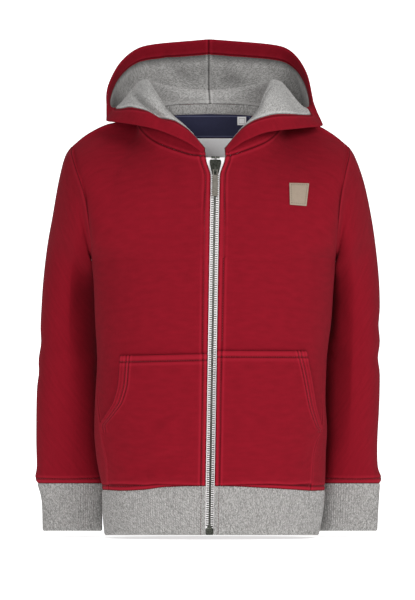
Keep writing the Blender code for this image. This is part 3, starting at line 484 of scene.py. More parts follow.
def crease(grid, normals, lines, facing=-1):
    """Soft troughs (depth above 0) and ridges (below 0) along lines (x, z, x, z, half width, depth)."""
    grid = grid.copy()
    seen = ease(facing * normals[..., 1] * 2)
    flat = grid[..., [0, 2]]
    for x0, z0, x1, z1, width, depth in lines:
        start, run = np.array([x0, z0]), np.array([x1 - x0, z1 - z0])
        share = ((flat - start) @ run) / (run @ run)
        beside = (flat - start) @ np.array([-run[1], run[0]]) / np.linalg.norm(run)
        bend = beside + CREASE_BOW * np.linalg.norm(run) * np.sin(math.pi * share)
        ends = ease(share / CREASE_END) * ease((1 - share) / CREASE_END)
        grid -= normals * (depth * seen * ends * fade(bend, width))[:, :, None]
    return grid


def places(count, *extra):
    """Every whole step up to count, and the extra places between them."""
    return np.unique(np.concatenate([np.arange(count + 1), np.array(extra, float)]))


def refine(grid, rows, columns):
    """The grid at places counted in its rows and columns, on smooth curves through its points."""
    fine = smooth(grid, rows)
    return smooth(fine.transpose(1, 0, 2), columns).transpose(1, 0, 2)


def draw_back(grid, edges, amount=SEAM_GAP / 4):
    """The grid with the named edges moved inwards along it."""
    grid = grid.copy()
    for edge in edges:
        axis, here, there = {"first_row": (0, 0, 1), "last_row": (0, -1, -2),
                             "first_column": (1, 0, 1), "last_column": (1, -1, -2)}[edge]
        line, inside = (grid[here], grid[there]) if axis == 0 else (grid[:, here], grid[:, there])
        step = inside - line
        line += amount * step / np.linalg.norm(step, axis=1)[:, None]
    return grid


def painted_seam_shading(edges, stitches):
    """The painted shade of a sheet in the grooves at its edges and stitching (below 0: painted highlight beside
    them), and how near they are.
    """
    dark, near = 0, 0
    for distance, amount in [(d, EDGE_SHADE) for d in edges] + [(d, STITCH_SHADE) for d in stitches]:
        # painted shade in the groove, less a painted highlight on the ridge beside it
        line = amount * fade(distance, SHADE_REACH)
        line = line - RIDGE_HIGHLIGHT * fade(np.abs(distance) - RIDGE_PLACE, RIDGE_REACH)
        dark = dark + line
        near = np.maximum(near, fade(distance, PUCKER_REACH))
    return np.clip(dark, -1, 1), near


def keep_painted_shading(piece, painted_shading):
    """Keeps the painted seam shade and highlight of a sheet's outer grid, and how near its seams are, as attributes
    of its points.
    """
    for label, values in zip(("seam_dark", "seam_near"), painted_shading):
        both = np.concatenate([values.ravel(), 0 * values.ravel()])
        piece.data.attributes.new(label, "FLOAT", "POINT").data.foreach_set("value", both)


def cloth(name, outer, inner, material, closed=False, sharp=SHARP):
    """A closed sheet between two grids, with its flat cut in metres as its UV map."""
    rows, columns = outer.shape[:2]
    index = np.arange(rows * columns).reshape(rows, columns)
    wide = outer
    if closed:
        index = np.hstack([index, index[:, :1]])
        wide = np.concatenate([outer, outer[:, :1]], axis=1)
    cut = np.stack([walked(wide, 1), walked(wide, 0)], axis=-1) * MM
    half = rows * columns
    quads, cuts = [], []

    def add(*corners):
        quads.append(np.stack([index[c[:2]] + half * c[2] for c in corners], -1).reshape(-1, 4))
        cuts.append(np.stack([cut[c[:2]] for c in corners], -2).reshape(-1, 4, 2))

    low, high = slice(None, -1), slice(1, None)
    add((low, low, 0), (low, high, 0), (high, high, 0), (high, low, 0))
    add((high, low, 1), (high, high, 1), (low, high, 1), (low, low, 1))
    for row in (0, -1):
        add((row, low, 0), (row, high, 0), (row, high, 1), (row, low, 1))
    if not closed:
        for column in (0, -1):
            add((low, column, 0), (high, column, 0), (high, column, 1), (low, column, 1))
    made = bpy.data.meshes.new(name)
    made.from_pydata((np.vstack([outer.reshape(-1, 3), inner.reshape(-1, 3)]) * MM).tolist(), [],
                     np.vstack(quads).tolist())
    made.uv_layers.new(name="cut").data.foreach_set("uv", np.concatenate(cuts).ravel())
    return finished(name, made, material, sharp)


def finished(name, mesh, material, sharp):
    """A piece whose faces look outward, shaded smooth but for its cut edges."""
    shape = bmesh.new()
    shape.from_mesh(mesh)
    bmesh.ops.recalc_face_normals(shape, faces=shape.faces)
    shape.to_mesh(mesh)
    shape.free()
    mesh.shade_smooth()
    mesh.set_sharp_from_angle(angle=math.radians(sharp))
    mesh.materials.append(material)
    return add_object(name, mesh)


def node(tree, kind, inputs=None, **settings):
    """A node with its settings, and its inputs joined to sockets or set to values."""
    made = tree.nodes.new(kind)
    for key, value in settings.items():
        setattr(made, key, value)
    for key, value in (inputs or {}).items():
        if isinstance(value, bpy.types.NodeSocket):
            tree.links.new(value, made.inputs[key])
        else:
            made.inputs[key].default_value = value
    return made


def math_node(tree, operation, *values):
    return node(tree, "ShaderNodeMath", dict(enumerate(values)), operation=operation).outputs[0]


def mixed(tree, factor, low, high):
    """The colour between two others, by a factor from 0 to 1."""
    return node(tree, "ShaderNodeMix", {"Factor": factor, 6: low, 7: high}, data_type="RGBA").outputs[2]


def add_bumps(tree, shader, *bumps):
    """Joins bumps (strength, distance, height) to the shader, each on top of the one before."""
    under = {}
    for strength, distance, height in bumps:
        bump = node(tree, "ShaderNodeBump", {"Strength": strength, "Distance": distance, "Height": height, **under})
        under = {"Normal": bump.outputs[0]}
    tree.links.new(bump.outputs[0], shader.inputs["Normal"])


def node_group(name, kind, inputs, outputs):
    """A node group with named inputs (socket type, value) and outputs."""
    tree = bpy.data.node_groups.new(name, kind)
    for label, (socket_type, value) in inputs.items():
        socket = tree.interface.new_socket(label, in_out="INPUT", socket_type=socket_type)
        if value is not None:
            socket.default_value = value
    for label, socket_type in outputs.items():
        tree.interface.new_socket(label, in_out="OUTPUT", socket_type=socket_type)
    return tree, tree.nodes.new("NodeGroupInput"), tree.nodes.new("NodeGroupOutput")


FLOAT, VECTOR, COLOUR = "NodeSocketFloat", "NodeSocketVector", "NodeSocketColor"


def knit_group():
    """Jersey loops: columns of small V shapes, as a height from 0 to 1, with a slow unevenness."""
    tree, start, end = node_group(
        "jersey_loops", "ShaderNodeTree",
        {"Cut": (VECTOR, None), "Wale": (FLOAT, 0.00095), "Course": (FLOAT, 0.0008)},
        {"Height": FLOAT, "Unevenness": FLOAT})
    cut = node(tree, "ShaderNodeSeparateXYZ", {0: start.outputs["Cut"]})
    across = math_node(tree, "DIVIDE", cut.outputs[0], start.outputs["Wale"])
    up = math_node(tree, "DIVIDE", cut.outputs[1], start.outputs["Course"])
    beside = math_node(tree, "ABSOLUTE", math_node(tree, "SUBTRACT", math_node(tree, "FRACT", across), 0.5))
    slanted = math_node(tree, "ADD", up, math_node(tree, "MULTIPLY", beside, 1.3))
    turn = math_node(tree, "SINE", math_node(tree, "MULTIPLY", slanted, math.tau))
    loop = math_node(tree, "MULTIPLY_ADD", turn, 0.5, 0.5)
    leg = math_node(tree, "SINE", math_node(tree, "MULTIPLY", beside, math.tau))
    height = math_node(tree, "MULTIPLY", leg, math_node(tree, "MULTIPLY_ADD", loop, 0.7, 0.3))
    drawn = node(tree, "ShaderNodeCombineXYZ", {0: math_node(tree, "MULTIPLY", cut.outputs[0], 0.35),
                                                1: cut.outputs[1]})
    slow = node(tree, "ShaderNodeTexNoise", {"Vector": drawn.outputs[0], "Scale": 170.0, "Detail": 4.0})
    tree.links.new(height, end.inputs["Height"])
    tree.links.new(slow.outputs["Fac"], end.inputs["Unevenness"])
    return tree


def melange_group():
    """Fibres of three shades spun together, drawn out along the knit."""
    tree, start, end = node_group(
        "melange", "ShaderNodeTree",
        {"Cut": (VECTOR, None), "Light": (COLOUR, (1, 1, 1, 1)), "Middle": (COLOUR, (0.5, 0.5, 0.5, 1)),
         "Dark": (COLOUR, (0.1, 0.1, 0.1, 1)), "Fleck width": (FLOAT, 0.0008), "Fleck length": (FLOAT, 0.0026)},
        {"Color": COLOUR, "Shade": FLOAT})
    cut = node(tree, "ShaderNodeSeparateXYZ", {0: start.outputs["Cut"]})
    across = math_node(tree, "DIVIDE", cut.outputs[0], start.outputs["Fleck width"])
    up = math_node(tree, "DIVIDE", cut.outputs[1], start.outputs["Fleck length"])
    drawn = node(tree, "ShaderNodeCombineXYZ", {0: across, 1: up})
    flecks = node(tree, "ShaderNodeTexVoronoi", {"Vector": drawn.outputs[0], "Scale": 1.0, "Randomness": 1.0},
                  voronoi_dimensions="2D")
    random = node(tree, "ShaderNodeSeparateColor", {0: flecks.outputs["Color"]})
    cloud = node(tree, "ShaderNodeTexNoise", {"Vector": drawn.outputs[0], "Scale": 0.35, "Detail": 4.0})
    shade = math_node(tree, "MULTIPLY_ADD", cloud.outputs["Fac"], 0.5,
                      math_node(tree, "MULTIPLY", random.outputs[0], 0.75))
    shade = math_node(tree, "SUBTRACT", shade, 0.12)
    lower = mixed(tree, math_node(tree, "MULTIPLY", shade, 2), start.outputs["Dark"], start.outputs["Middle"])
    upper = mixed(tree, math_node(tree, "MULTIPLY_ADD", shade, 2, -1), lower, start.outputs["Light"])
    tree.links.new(upper, end.inputs["Color"])
    tree.links.new(shade, end.inputs["Shade"])
    return tree


def seam_group():
    """Cloth with painted shade in a seam's groove and painted highlight beside it, by the piece's painted seam
    shading, and how it puckers there.
    """
    tree, start, end = node_group(
        "seam_shade", "ShaderNodeTree",
        {"Color": (COLOUR, (1, 1, 1, 1)), "Fold": (COLOUR, (0, 0, 0, 1)), "Ridge": (COLOUR, (1, 1, 1, 1)),
         "Cut": (VECTOR, None)},
        {"Color": COLOUR, "Pucker": FLOAT})
    # painted shade above 0, painted highlight below 0
    dark = node(tree, "ShaderNodeAttribute", attribute_name="seam_dark")
    near = node(tree, "ShaderNodeAttribute", attribute_name="seam_near")
    light = math_node(tree, "MULTIPLY", dark.outputs["Fac"], -1)
    ridge = mixed(tree, light, start.outputs["Color"], start.outputs["Ridge"])
    fold = mixed(tree, dark.outputs["Fac"], ridge, start.outputs["Fold"])
    tree.links.new(fold, end.inputs["Color"])
    ripple = node(tree, "ShaderNodeTexNoise", {"Vector": start.outputs["Cut"], "Scale": 150.0, "Detail": 1.0})
    tree.links.new(math_node(tree, "MULTIPLY", near.outputs["Fac"], ripple.outputs["Fac"]), end.inputs["Pucker"])
    return tree


jersey_loops = knit_group()
melange = melange_group()
seam_shade = seam_group()


def group_node(tree, group, inputs):
    return node(tree, "ShaderNodeGroup", inputs, node_tree=group)


def new_material(name, roughness, **settings):
    """A material, its node tree and its Principled shader, with plain values on the shader's sockets."""
    made = bpy.data.materials.new(name)
    made.use_nodes = True
    shader = made.node_tree.nodes["Principled BSDF"]
    shader.inputs["Roughness"].default_value = roughness
    for label, value in settings.items():
        shader.inputs[label.replace("_", " ")].default_value = value
    return made, made.node_tree, shader


# The red's light and deep tones, between which it varies at random and by painted shade between its loops; then the
# painted shade in its seams' grooves and the painted highlight beside them.
RED_LIGHT = (0.228, 0.0054, 0.0147, 1)
RED_DEEP = (0.134, 0.0030, 0.0080, 1)
RED_PAINTED_SHADE = (0.045, 0.0010, 0.0028, 1)  # painted shade where the cloth is drawn in by a seam
RED_PAINTED_HIGHLIGHT = (0.300, 0.0110, 0.0240, 1)  # painted highlight on the ridge beside it


def red_sweatshirt():
    """Brushed sweatshirt cloth: deep red, very matt, with fine loops, a slightly patchy dyed colour, and painted
    shade between the loops.
    """
    made, tree, shader = new_material("red_sweatshirt", 0.95, Sheen_Weight=0.05, Sheen_Roughness=0.5,
                                      Sheen_Tint=(0.9, 0.2, 0.25, 1), Specular_IOR_Level=0.08)
    cut = node(tree, "ShaderNodeUVMap", uv_map="cut")
    loops = group_node(tree, jersey_loops, {"Cut": cut.outputs[0], "Wale": 0.0011, "Course": 0.0009})
    # a tone that varies a little at random, and painted shade between the loops, darker where their height is low
    tone_and_loop_shade = math_node(tree, "MULTIPLY_ADD", loops.outputs["Unevenness"], 0.8,
                       math_node(tree, "MULTIPLY_ADD", loops.outputs["Height"], 0.3, -0.07))
    red_with_loop_shade = mixed(tree, tone_and_loop_shade, RED_DEEP, RED_LIGHT)
    # painted shade in the seams' grooves and painted highlight on the ridges beside them
    seam = group_node(tree, seam_shade, {"Color": red_with_loop_shade, "Fold": RED_PAINTED_SHADE, "Ridge": RED_PAINTED_HIGHLIGHT, "Cut": cut.outputs[0]})
    tree.links.new(seam.outputs["Color"], shader.inputs["Base Color"])
    add_bumps(tree, shader, (0.7, 0.0016, seam.outputs["Pucker"]), (0.35, 0.0002, loops.outputs["Height"]))
    return made


RED = red_sweatshirt()


def sheet_size(grid, closed):
    """The greatest width and length of a sheet's flat cut, in metres, along its rows and columns."""
    wide = np.concatenate([grid, grid[:, :1]], axis=1) if closed else grid
    width = walked(wide, 1)[:, -1].max() * MM
    length = walked(wide, 0)[-1].max() * MM
    return width, length


def dress(piece, grid, nodes, closed=False):
    """The piece rides on the garment and stands for its nodes. The size of its cut is worked out but not used."""
    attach(piece, "garment")
    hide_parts(*nodes)
    width, length = (round(size, 3) for size in sheet_size(grid, closed))


FRONT_CREASES = {
    RIGHT: (
        (-128, -150, -96, -228, 15, 1.0),
        (-132, -232, -108, -300, 12, -0.7),
        (-112, -268, -70, -292, 14, 0.6),
        (-62, -86, -24, -150, 20, 0.7),
        (-34, -200, -40, -262, 17, -0.6),
        (-80, -420, -28, -429, 6, -1.3),
        (-100, -410, -60, -419, 9, 0.8),
    ),
    LEFT: (
        (134, -156, 104, -236, 15, 1.0),
        (134, -240, 118, -300, 12, -0.7),
        (96, -262, 60, -296, 15, 0.6),
        (60, -84, 30, -140, 20, 0.6),
        (34, -190, 44, -262, 18, -0.6),
        (126, -392, 112, -428, 8, 0.9),
    ),
}
BACK_CREASES = (
    (-128, -140, -92, -214, 16, 1.5),
    (128, -140, 90, -220, 16, 1.6),
    (-132, -214, -100, -286, 13, -1.0),
    (134, -222, 106, -300, 14, -1.0),
    (-70, -60, -20, -84, 16, 1.0),
    (70, -58, 24, -88, 17, 1.1),
    (-96, -330, -30, -348, 18, 1.1),
    (88, -352, 20, -366, 19, 1.0),
    (-60, -416, 12, -426, 8, 1.1),
    (40, -412, 104, -424, 9, 1.0),
)
SEAM_STEPS = (0.12, 0.3, 0.6)
HEM_PLACES = (1.0, 1.2, 1.4, 1.6, 1.8, 2.0)

fronts = {side: panel(side, True) for side in SIGN}
half_backs = {side: panel(side, False) for side in SIGN}
back = np.concatenate([half_backs[RIGHT][:, ::-1], half_backs[LEFT][:, 1:]], axis=1)
SLEEVE_COLUMNS = "outer outer_height inner inner_height under front back formed hollow"
SLEEVE = {  # rings seen from the front: edges, depths, how far it has left the armhole's shape
    RIGHT: table(
        SLEEVE_COLUMNS,
        (174.5, -45, 144.8, -170.5, 14, -50, 65, 0.12, 2.0),
        (182, -75, 142, -177, 24, -40, 72, 0.35, 1.9),
        (189, -115, 139.5, -187, 32, -24, 81, 0.7, 1.45),
        (195.5, -152, 136.8, -200, 40, -8, 88, 1, 1.25),
        (200.5, -196, 136, -216, 45, 2, 92, 1, 1.2),
        (203.5, -244, 134.5, -250, 45, 3, 89, 1, 1.25),
        (206.5, -292, 132.5, -292, 44, 2, 86, 1, 1.6),
        (208.3, -340, 133.5, -340, 44, 4, 84, 1, 1.9),
        (208.6, -385, 133, -385, 44, 7, 81, 1, 2.1),
        (208, -415, 130.5, -415, 44, 11, 77, 1, 2.1),
        (209.8, -429, 128, -429, 44, 14, 74, 1, 2.1),
        (206.5, -436.5, 127, -436.5, 44, 20, 68, 1, 2.1),
    ),
    LEFT: table(
        SLEEVE_COLUMNS,
        (174.5, -45, 152.8, -170.5, 14, -50, 65, 0.12, 2.0),
        (185, -75, 151, -177, 24, -40, 72, 0.35, 1.9),
        (193.5, -115, 148.3, -187, 32, -26, 81, 0.7, 1.7),
        (199, -152, 144.8, -200, 40, -12, 88, 1, 1.6),
        (203.2, -196, 143.5, -216, 45, -2, 92, 1, 1.6),
        (204.2, -244, 141, -250, 45, 1, 89, 1, 1.5),
        (204.2, -292, 137.5, -292, 44, 2, 86, 1, 1.25),
        (203.3, -340, 135.5, -340, 44, 4, 84, 1, 1.3),
        (201, -385, 136, -385, 44, 7, 81, 1, 1.6),
        (201.5, -415, 134.5, -415, 44, 11, 77, 1, 1.9),
        (205.8, -429, 133.5, -429, 44, 14, 74, 1, 2.1),
        (203.5, -436.5, 132.5, -436.5, 44, 20, 68, 1, 2.1),
    ),
}
SLEEVE_RINGS = 84
SLEEVE_TOP_PLACES = (0.1, 0.25, 0.5)  # more rings by the armhole
SLEEVE_LOW_PLACES = (0.12, 0.3, 0.6, 1.2, 1.4, 1.6, 1.8)  # and above the cuff
SLEEVE_STITCH = 7.5  # from the cuff seam up to its topstitching
LEANING = {  # height, how far out, amount and reach of each place where a sleeve leans on the body
    RIGHT: ((-175, 141.5, 3.0, 9),),
    LEFT: ((-175, 150.5, 3.0, 9), (-284, 138, 3.2, 16)),
}
LEAN_WIDTH = 14
SLEEVE_BEHIND = 3  # how far behind the shoulder tip its outer edge lies
SLEEVE_ROUNDNESS = 2.2  # exponent of its rounded rings, but for the hollow side beside the body
ELBOW_FOLDS = {  # height, depth and reach of each soft ring where the arm bends
    RIGHT: ((-268, 2.2, 14), (-303, 1.6, 11)),
    LEFT: ((-246, 1.8, 13), (-285, 2.6, 12)),
}
SLEEVE_CREASES = {
    RIGHT: (
        (-196, -240, -150, -258, 7, 1.1),
        (-200, -283, -146, -272, 8, -0.9),
        (-142, -196, -172, -262, 9, 1.0),
        (-190, -352, -150, -338, 9, 0.9),
        (-186, -410, -146, -400, 8, 0.8),
        (-168, -60, -180, -130, 10, 0.7),
    ),
    LEFT: (
        (176, -106, 178, -222, 9, -1.6),
        (190, -140, 186, -206, 9, 0.8),
        (196, -262, 150, -246, 8, 0.9),
        (148, -204, 168, -252, 8, 1.1),
        (194, -322, 150, -338, 9, 0.9),
        (192, -398, 152, -410, 8, 0.8),
    ),
}
SLEEVE_BACK_CREASES = {
    RIGHT: ((-192, -226, -150, -246, 9, 1.3), (-196, -292, -148, -268, 9, 1.2), (-190, -372, -150, -356, 9, 0.9)),
    LEFT: ((192, -232, 150, -250, 9, 1.3), (194, -296, 150, -274, 9, 1.2), (190, -366, 150, -380, 9, 0.9)),
}


def section(middle, outer, front, back, hollow, count):
    """A ring about a middle point: it starts at its outer edge and goes round by the front."""
    angle = np.linspace(0, math.tau, count, endpoint=False)
    c, s = np.cos(angle), np.sin(angle)
    power = 2 / np.where((c < -1e-9) & (s > 1e-9), hollow, SLEEVE_ROUNDNESS)
    across = np.sign(c) * np.abs(c) ** power
    deep = np.sign(s) * np.abs(s) ** power
    ring = middle + across[:, None] * (outer - middle)
    ring[:, 1] = (front + back) / 2 - deep * (back - front) / 2
    return ring


def armhole_ring(side):
    """The armhole from the shoulder tip down the front, under the arm and up the back."""
    front = spline(side_points(ARMHOLE_FRONT, side), ARMHOLE_STEPS + 1)
    behind = spline(side_points(ARMHOLE_BACK, side), ARMHOLE_STEPS + 1)
    return np.vstack([front[::-1], behind[1:-1]])


def sleeve_grid(side):
    """Rings from the armhole down to the cuff, with the bends of the elbow."""
    hole = armhole_ring(side)
    tip, under = hole[0], hole[ARMHOLE_STEPS]
    axis = tip - under
    shares = (hole - under) @ axis / (axis @ axis)
    offsets = hole - under - shares[:, None] * axis
    rings = [hole]
    for row in zip(*SLEEVE[side].values()):
        value = dict(zip(SLEEVE[side], row))
        outer = np.array([SIGN[side] * value["outer"], 0, value["outer_height"]])
        inner = np.array([SIGN[side] * value["inner"], 0, value["inner_height"]])
        formed = section((outer + inner) / 2, outer, value["front"], value["back"], value["hollow"],
                         2 * ARMHOLE_STEPS)
        outer[1], inner[1] = tip[1] + SLEEVE_BEHIND, value["under"]
        moved = inner + shares[:, None] * (outer - inner) + offsets
        rings.append(moved + value["formed"] * (formed - moved))
    count = np.arange(SLEEVE_RINGS + 1) / SLEEVE_RINGS * (len(rings) - 1)
    rings = smooth(rings, count)
    outward = unit(rings - rings.mean(axis=1)[:, None])
    for height, depth, reach in ELBOW_FOLDS[side]:
        rings = rings - outward * (depth * fade(rings[:, :, 2] - height, reach))[:, :, None]
    return rings


sleeves = {side: sleeve_grid(side) for side in SIGN}
seams = Seams()
for side in SIGN:
    seams.add(fronts[side], flip=side == RIGHT)
    seams.add(sleeves[side], flip=side == RIGHT, closed=True)
seams.add(back, flip=True)


def cut_piece(grid, rows, columns, edges, creases, grooves, facing=-1):
    """A piece's outer grid, normals and painted seam shading: made finer, creased, turned in and pressed at its
    seams.
    """
    normals = unit(refine(seams.normals(grid), rows, columns))
    flat = draw_back(refine(grid, rows, columns), edges)
    grid = crease(flat, normals, creases, facing)
    for edge, distance in grooves:
        grid = press(grid, normals, from_edge(flat, edge) - distance)
    painted_shading = painted_seam_shading([from_edge(flat, edge) for edge in edges],
                       [from_edge(flat, edge) - distance for edge, distance in grooves])
    return turn_in(grid, normals, edges), normals, painted_shading


panel_rows, panel_columns = fronts[RIGHT].shape[0] - 1, fronts[RIGHT].shape[1] - 1
row_places = places(panel_rows, *SEAM_STEPS, *HEM_PLACES, *(panel_rows - np.array(SEAM_STEPS)))
ZIP_STITCH = 6.6  # from a front's edge to the stitching that holds the zip tape
ZIP_PLACES = (1.4, 1.6, 1.8, 2.2, 2.4, 2.6, 2.8, 3.2, 3.4, 3.6)
column_places = places(panel_columns, *SEAM_STEPS, *ZIP_PLACES, *(panel_columns - np.array(SEAM_STEPS)))
front_sheets = {}
for side in SIGN:
    grid, normals, painted_shading = cut_piece(fronts[side], row_places, column_places, EDGES, FRONT_CREASES[side],
                                     (("first_row", HEM_STITCH), ("first_column", ZIP_STITCH)))
    front_sheets[side] = grid, normals
    piece = cloth("front_cloth_" + side, grid, grid - normals * CLOTH, RED)
    # painted seam shade and highlight, kept on the piece for its material
    keep_painted_shading(piece, painted_shading)
    dress(piece, grid, ["front_" + side])

back_columns = back.shape[1] - 1
column_places = places(back_columns, *SEAM_STEPS, *(back_columns - np.array(SEAM_STEPS)))
grid, normals, painted_shading = cut_piece(back, row_places, column_places, EDGES, BACK_CREASES,
                                 (("first_row", HEM_STITCH),), facing=1)
back_sheet = grid, normals
piece = cloth("back_cloth", grid, grid - normals * CLOTH, RED)
# painted seam shade and highlight, kept on the piece for its material
keep_painted_shading(piece, painted_shading)
dress(piece, grid, ["back"])

sleeve_places = places(SLEEVE_RINGS, *SLEEVE_TOP_PLACES, *(SLEEVE_RINGS - np.array(SLEEVE_LOW_PLACES)))
sleeve_sheets = {}
for side in SIGN:
    normals = unit(smooth(seams.normals(sleeves[side]), sleeve_places))
    grid = smooth(sleeves[side], sleeve_places)
    for height, out, amount, reach in LEANING[side]:
        inward = ease((out + LEAN_WIDTH - np.abs(grid[..., 0])) / LEAN_WIDTH) * fade(grid[..., 2] - height, reach)
        grid[..., 0] -= SIGN[side] * amount * inward
    flat = grid
    grid = crease(grid, normals, SLEEVE_CREASES[side])
    grid = crease(grid, normals, SLEEVE_BACK_CREASES[side], facing=1)
    grid = press(grid, normals, from_edge(flat, "last_row") - SLEEVE_STITCH)
    grid = turn_in(grid, normals, ("first_row", "last_row"))
    sleeve_sheets[side] = grid, normals
    piece = cloth("sleeve_cloth_" + side, grid, grid - normals * CLOTH, RED, closed=True)
    # painted seam shade and highlight, kept on the piece for its material
    keep_painted_shading(piece, painted_seam_shading([from_edge(flat, "first_row"), from_edge(flat, "last_row")],
                           [from_edge(flat, "last_row") - SLEEVE_STITCH]))
    dress(piece, grid, ["sleeve_" + side], closed=True)


# ------------------------------------------------------------ Hem band and cuffs
# Doubled rib knit in grey melange yarn, folded at its lower edge. The band runs from zip to zip
# and each cuff is a ring; both are pulled in a little by the rib and sewn to the cloth above.

RIB = 2.2
RIB_RAISE = 0.75
BAND_RIBS = 252
CUFF_RIBS = 74
CUFF_ROUNDNESS = 2.1
RIB_STEPS = 6  # points across each rib
RIB_SEAM_ROLL = (0.5, 1.2)
RIB_FOLD_ROLL = (0.8, 0.9)
RIB_LOW = 0.35  # of a rib's height, at the turned lower edge
RIB_RISE = 2.5
BAND_ROWS = 16
BAND_SLIP = 20  # how far from the zip the band is moved along with its ends
CUFF_COLUMNS = "outer inner height front back"
CUFF = {
    RIGHT: table(
        CUFF_COLUMNS,
        (206.5, 127, -436.5, 20, 68),
        (201.5, 129.8, -457, 25, 64),
        (200.2, 129.8, -493, 29, 62),
    ),
    LEFT: table(
        CUFF_COLUMNS,
        (203.5, 132.5, -436.5, 20, 68),
        (202, 132, -457, 25, 64),
        (200.2, 131, -493, 29, 62),
    ),
}
RIB_SHADES = ((0.45, 0.44, 0.43, 1), (0.255, 0.25, 0.242, 1), (0.105, 0.103, 0.10, 1))


def grey_knit(name, shades, fleck_width, fleck_length, wale, strength):
    """Grey melange knit: spun flecks of three greys, light, middle and dark, over fine loops."""
    made, tree, shader = new_material(name, 0.93, Sheen_Weight=0.1, Sheen_Roughness=0.5, Specular_IOR_Level=0.2)
    cut = node(tree, "ShaderNodeUVMap", uv_map="cut")
    yarn = group_node(tree, melange, {"Cut": cut.outputs[0], "Light": shades[0], "Middle": shades[1],
                                      "Dark": shades[2], "Fleck width": fleck_width,
                                      "Fleck length": fleck_length})
    # painted shade in the seams' grooves, and the lightest grey as painted highlight on the ridges beside them
    seam = group_node(tree, seam_shade, {"Color": yarn.outputs["Color"], "Fold": (0.06, 0.058, 0.056, 1),
                                         "Ridge": shades[0], "Cut": cut.outputs[0]})
    tree.links.new(seam.outputs["Color"], shader.inputs["Base Color"])
    loops = group_node(tree, jersey_loops, {"Cut": cut.outputs[0], "Wale": wale, "Course": wale * 0.8})
    height = math_node(tree, "MULTIPLY_ADD", yarn.outputs["Shade"], 0.4, loops.outputs["Height"])
    add_bumps(tree, shader, (strength, 0.0002, height))
    return made


GREY_RIB = grey_knit("grey_rib", RIB_SHADES, 0.00045, 0.0014, 0.0009, 0.4)


GEOMETRY, MATERIAL = "NodeSocketGeometry", "NodeSocketMaterial"


def end_tree(tree, start, end, geometry, smooth_shade=False):
    """Makes geometry real, paints it with the tree's material and joins it to the tree's result."""
    made = node(tree, "GeometryNodeRealizeInstances", {"Geometry": geometry})
    if smooth_shade:
        made = node(tree, "GeometryNodeSetShadeSmooth", {"Geometry": made.outputs[0]})
    made = node(tree, "GeometryNodeSetMaterial", {"Geometry": made.outputs[0], "Material": start.outputs["Material"]})
    tree.links.new(made.outputs[0], end.inputs["Geometry"])
    return tree


def rib_tree():
    """Raises ribs on a plain knit: the rib attribute counts ribs, the raised one says where they stand."""
    tree, start, end = node_group(
        "raised_ribs", "GeometryNodeTree",
        {"Geometry": (GEOMETRY, None), "Height": (FLOAT, 0.0005), "Material": (MATERIAL, None)},
        {"Geometry": GEOMETRY})
    count = node(tree, "GeometryNodeInputNamedAttribute", {"Name": "rib"}, data_type="FLOAT")
    raised = node(tree, "GeometryNodeInputNamedAttribute", {"Name": "raised"}, data_type="FLOAT")
    wave = math_node(tree, "COSINE", math_node(tree, "MULTIPLY", count.outputs[0], math.tau))
    round_top = math_node(tree, "POWER", math_node(tree, "MULTIPLY_ADD", wave, 0.5, 0.5), 0.7)
    amount = math_node(tree, "MULTIPLY", math_node(tree, "MULTIPLY", round_top, raised.outputs[0]),
                       start.outputs["Height"])
    normal = tree.nodes.new("GeometryNodeInputNormal")
    offset = node(tree, "ShaderNodeVectorMath", {0: normal.outputs[0]}, operation="SCALE")
    tree.links.new(amount, offset.inputs["Scale"])
    moved = node(tree, "GeometryNodeSetPosition", {"Geometry": start.outputs["Geometry"],
                                                   "Offset": offset.outputs[0]})
    return end_tree(tree, start, end, moved.outputs[0])


def grown(piece, tree, **values):
    """The piece with a node tree's result as its plain mesh. Each named value goes to its input's socket."""
    modifier = piece.modifiers.new(tree.name, "NODES")
    modifier.node_group = tree
    for item in tree.interface.items_tree:
        if item.in_out == "INPUT" and item.name in values:
            modifier[item.identifier] = values[item.name]
    shown = piece.evaluated_get(bpy.context.evaluated_depsgraph_get())
    mesh = bpy.data.meshes.new_from_object(shown, preserve_all_data_layers=True,
                                           depsgraph=bpy.context.evaluated_depsgraph_get())
    piece.modifiers.clear()
    piece.data = mesh
    mesh.name = piece.name
    return piece


raised_ribs = rib_tree()


def rib_knit(name, grid, normals, closed):
    """A doubled rib: a wall whose outer side is raised in ribs, but for its turned lower edge."""
    piece = cloth(name, grid, grid - normals * RIB, GREY_RIB, closed=closed, sharp=SHARP_SOFT)
    rows, columns = grid.shape[:2]
    across = np.broadcast_to(np.arange(columns) / RIB_STEPS + 0.5, (rows, columns))
    height = from_edge(grid, "first_row")
    stands = RIB_LOW + (1 - RIB_LOW) * ease(height / RIB_RISE)
    for label, values in (("rib", across), ("raised", stands)):
        both = np.concatenate([values.ravel(), np.zeros(rows * columns)])
        piece.data.attributes.new(label, "FLOAT", "POINT").data.foreach_set("value", both)
    return grown(piece, raised_ribs, Height=RIB_RAISE * MM, Material=GREY_RIB)


band_seam = np.vstack([fronts[LEFT][0], back[0][::-1][1:-1], fronts[RIGHT][0][::-1]])
band_seam = evenly(band_seam, BAND_RIBS * RIB_STEPS + 1)
BAND_SHARES = np.unique(np.concatenate([np.linspace(0, 1, BAND_ROWS + 1), [0.008, 0.02, 0.035, 0.965, 0.985]]))


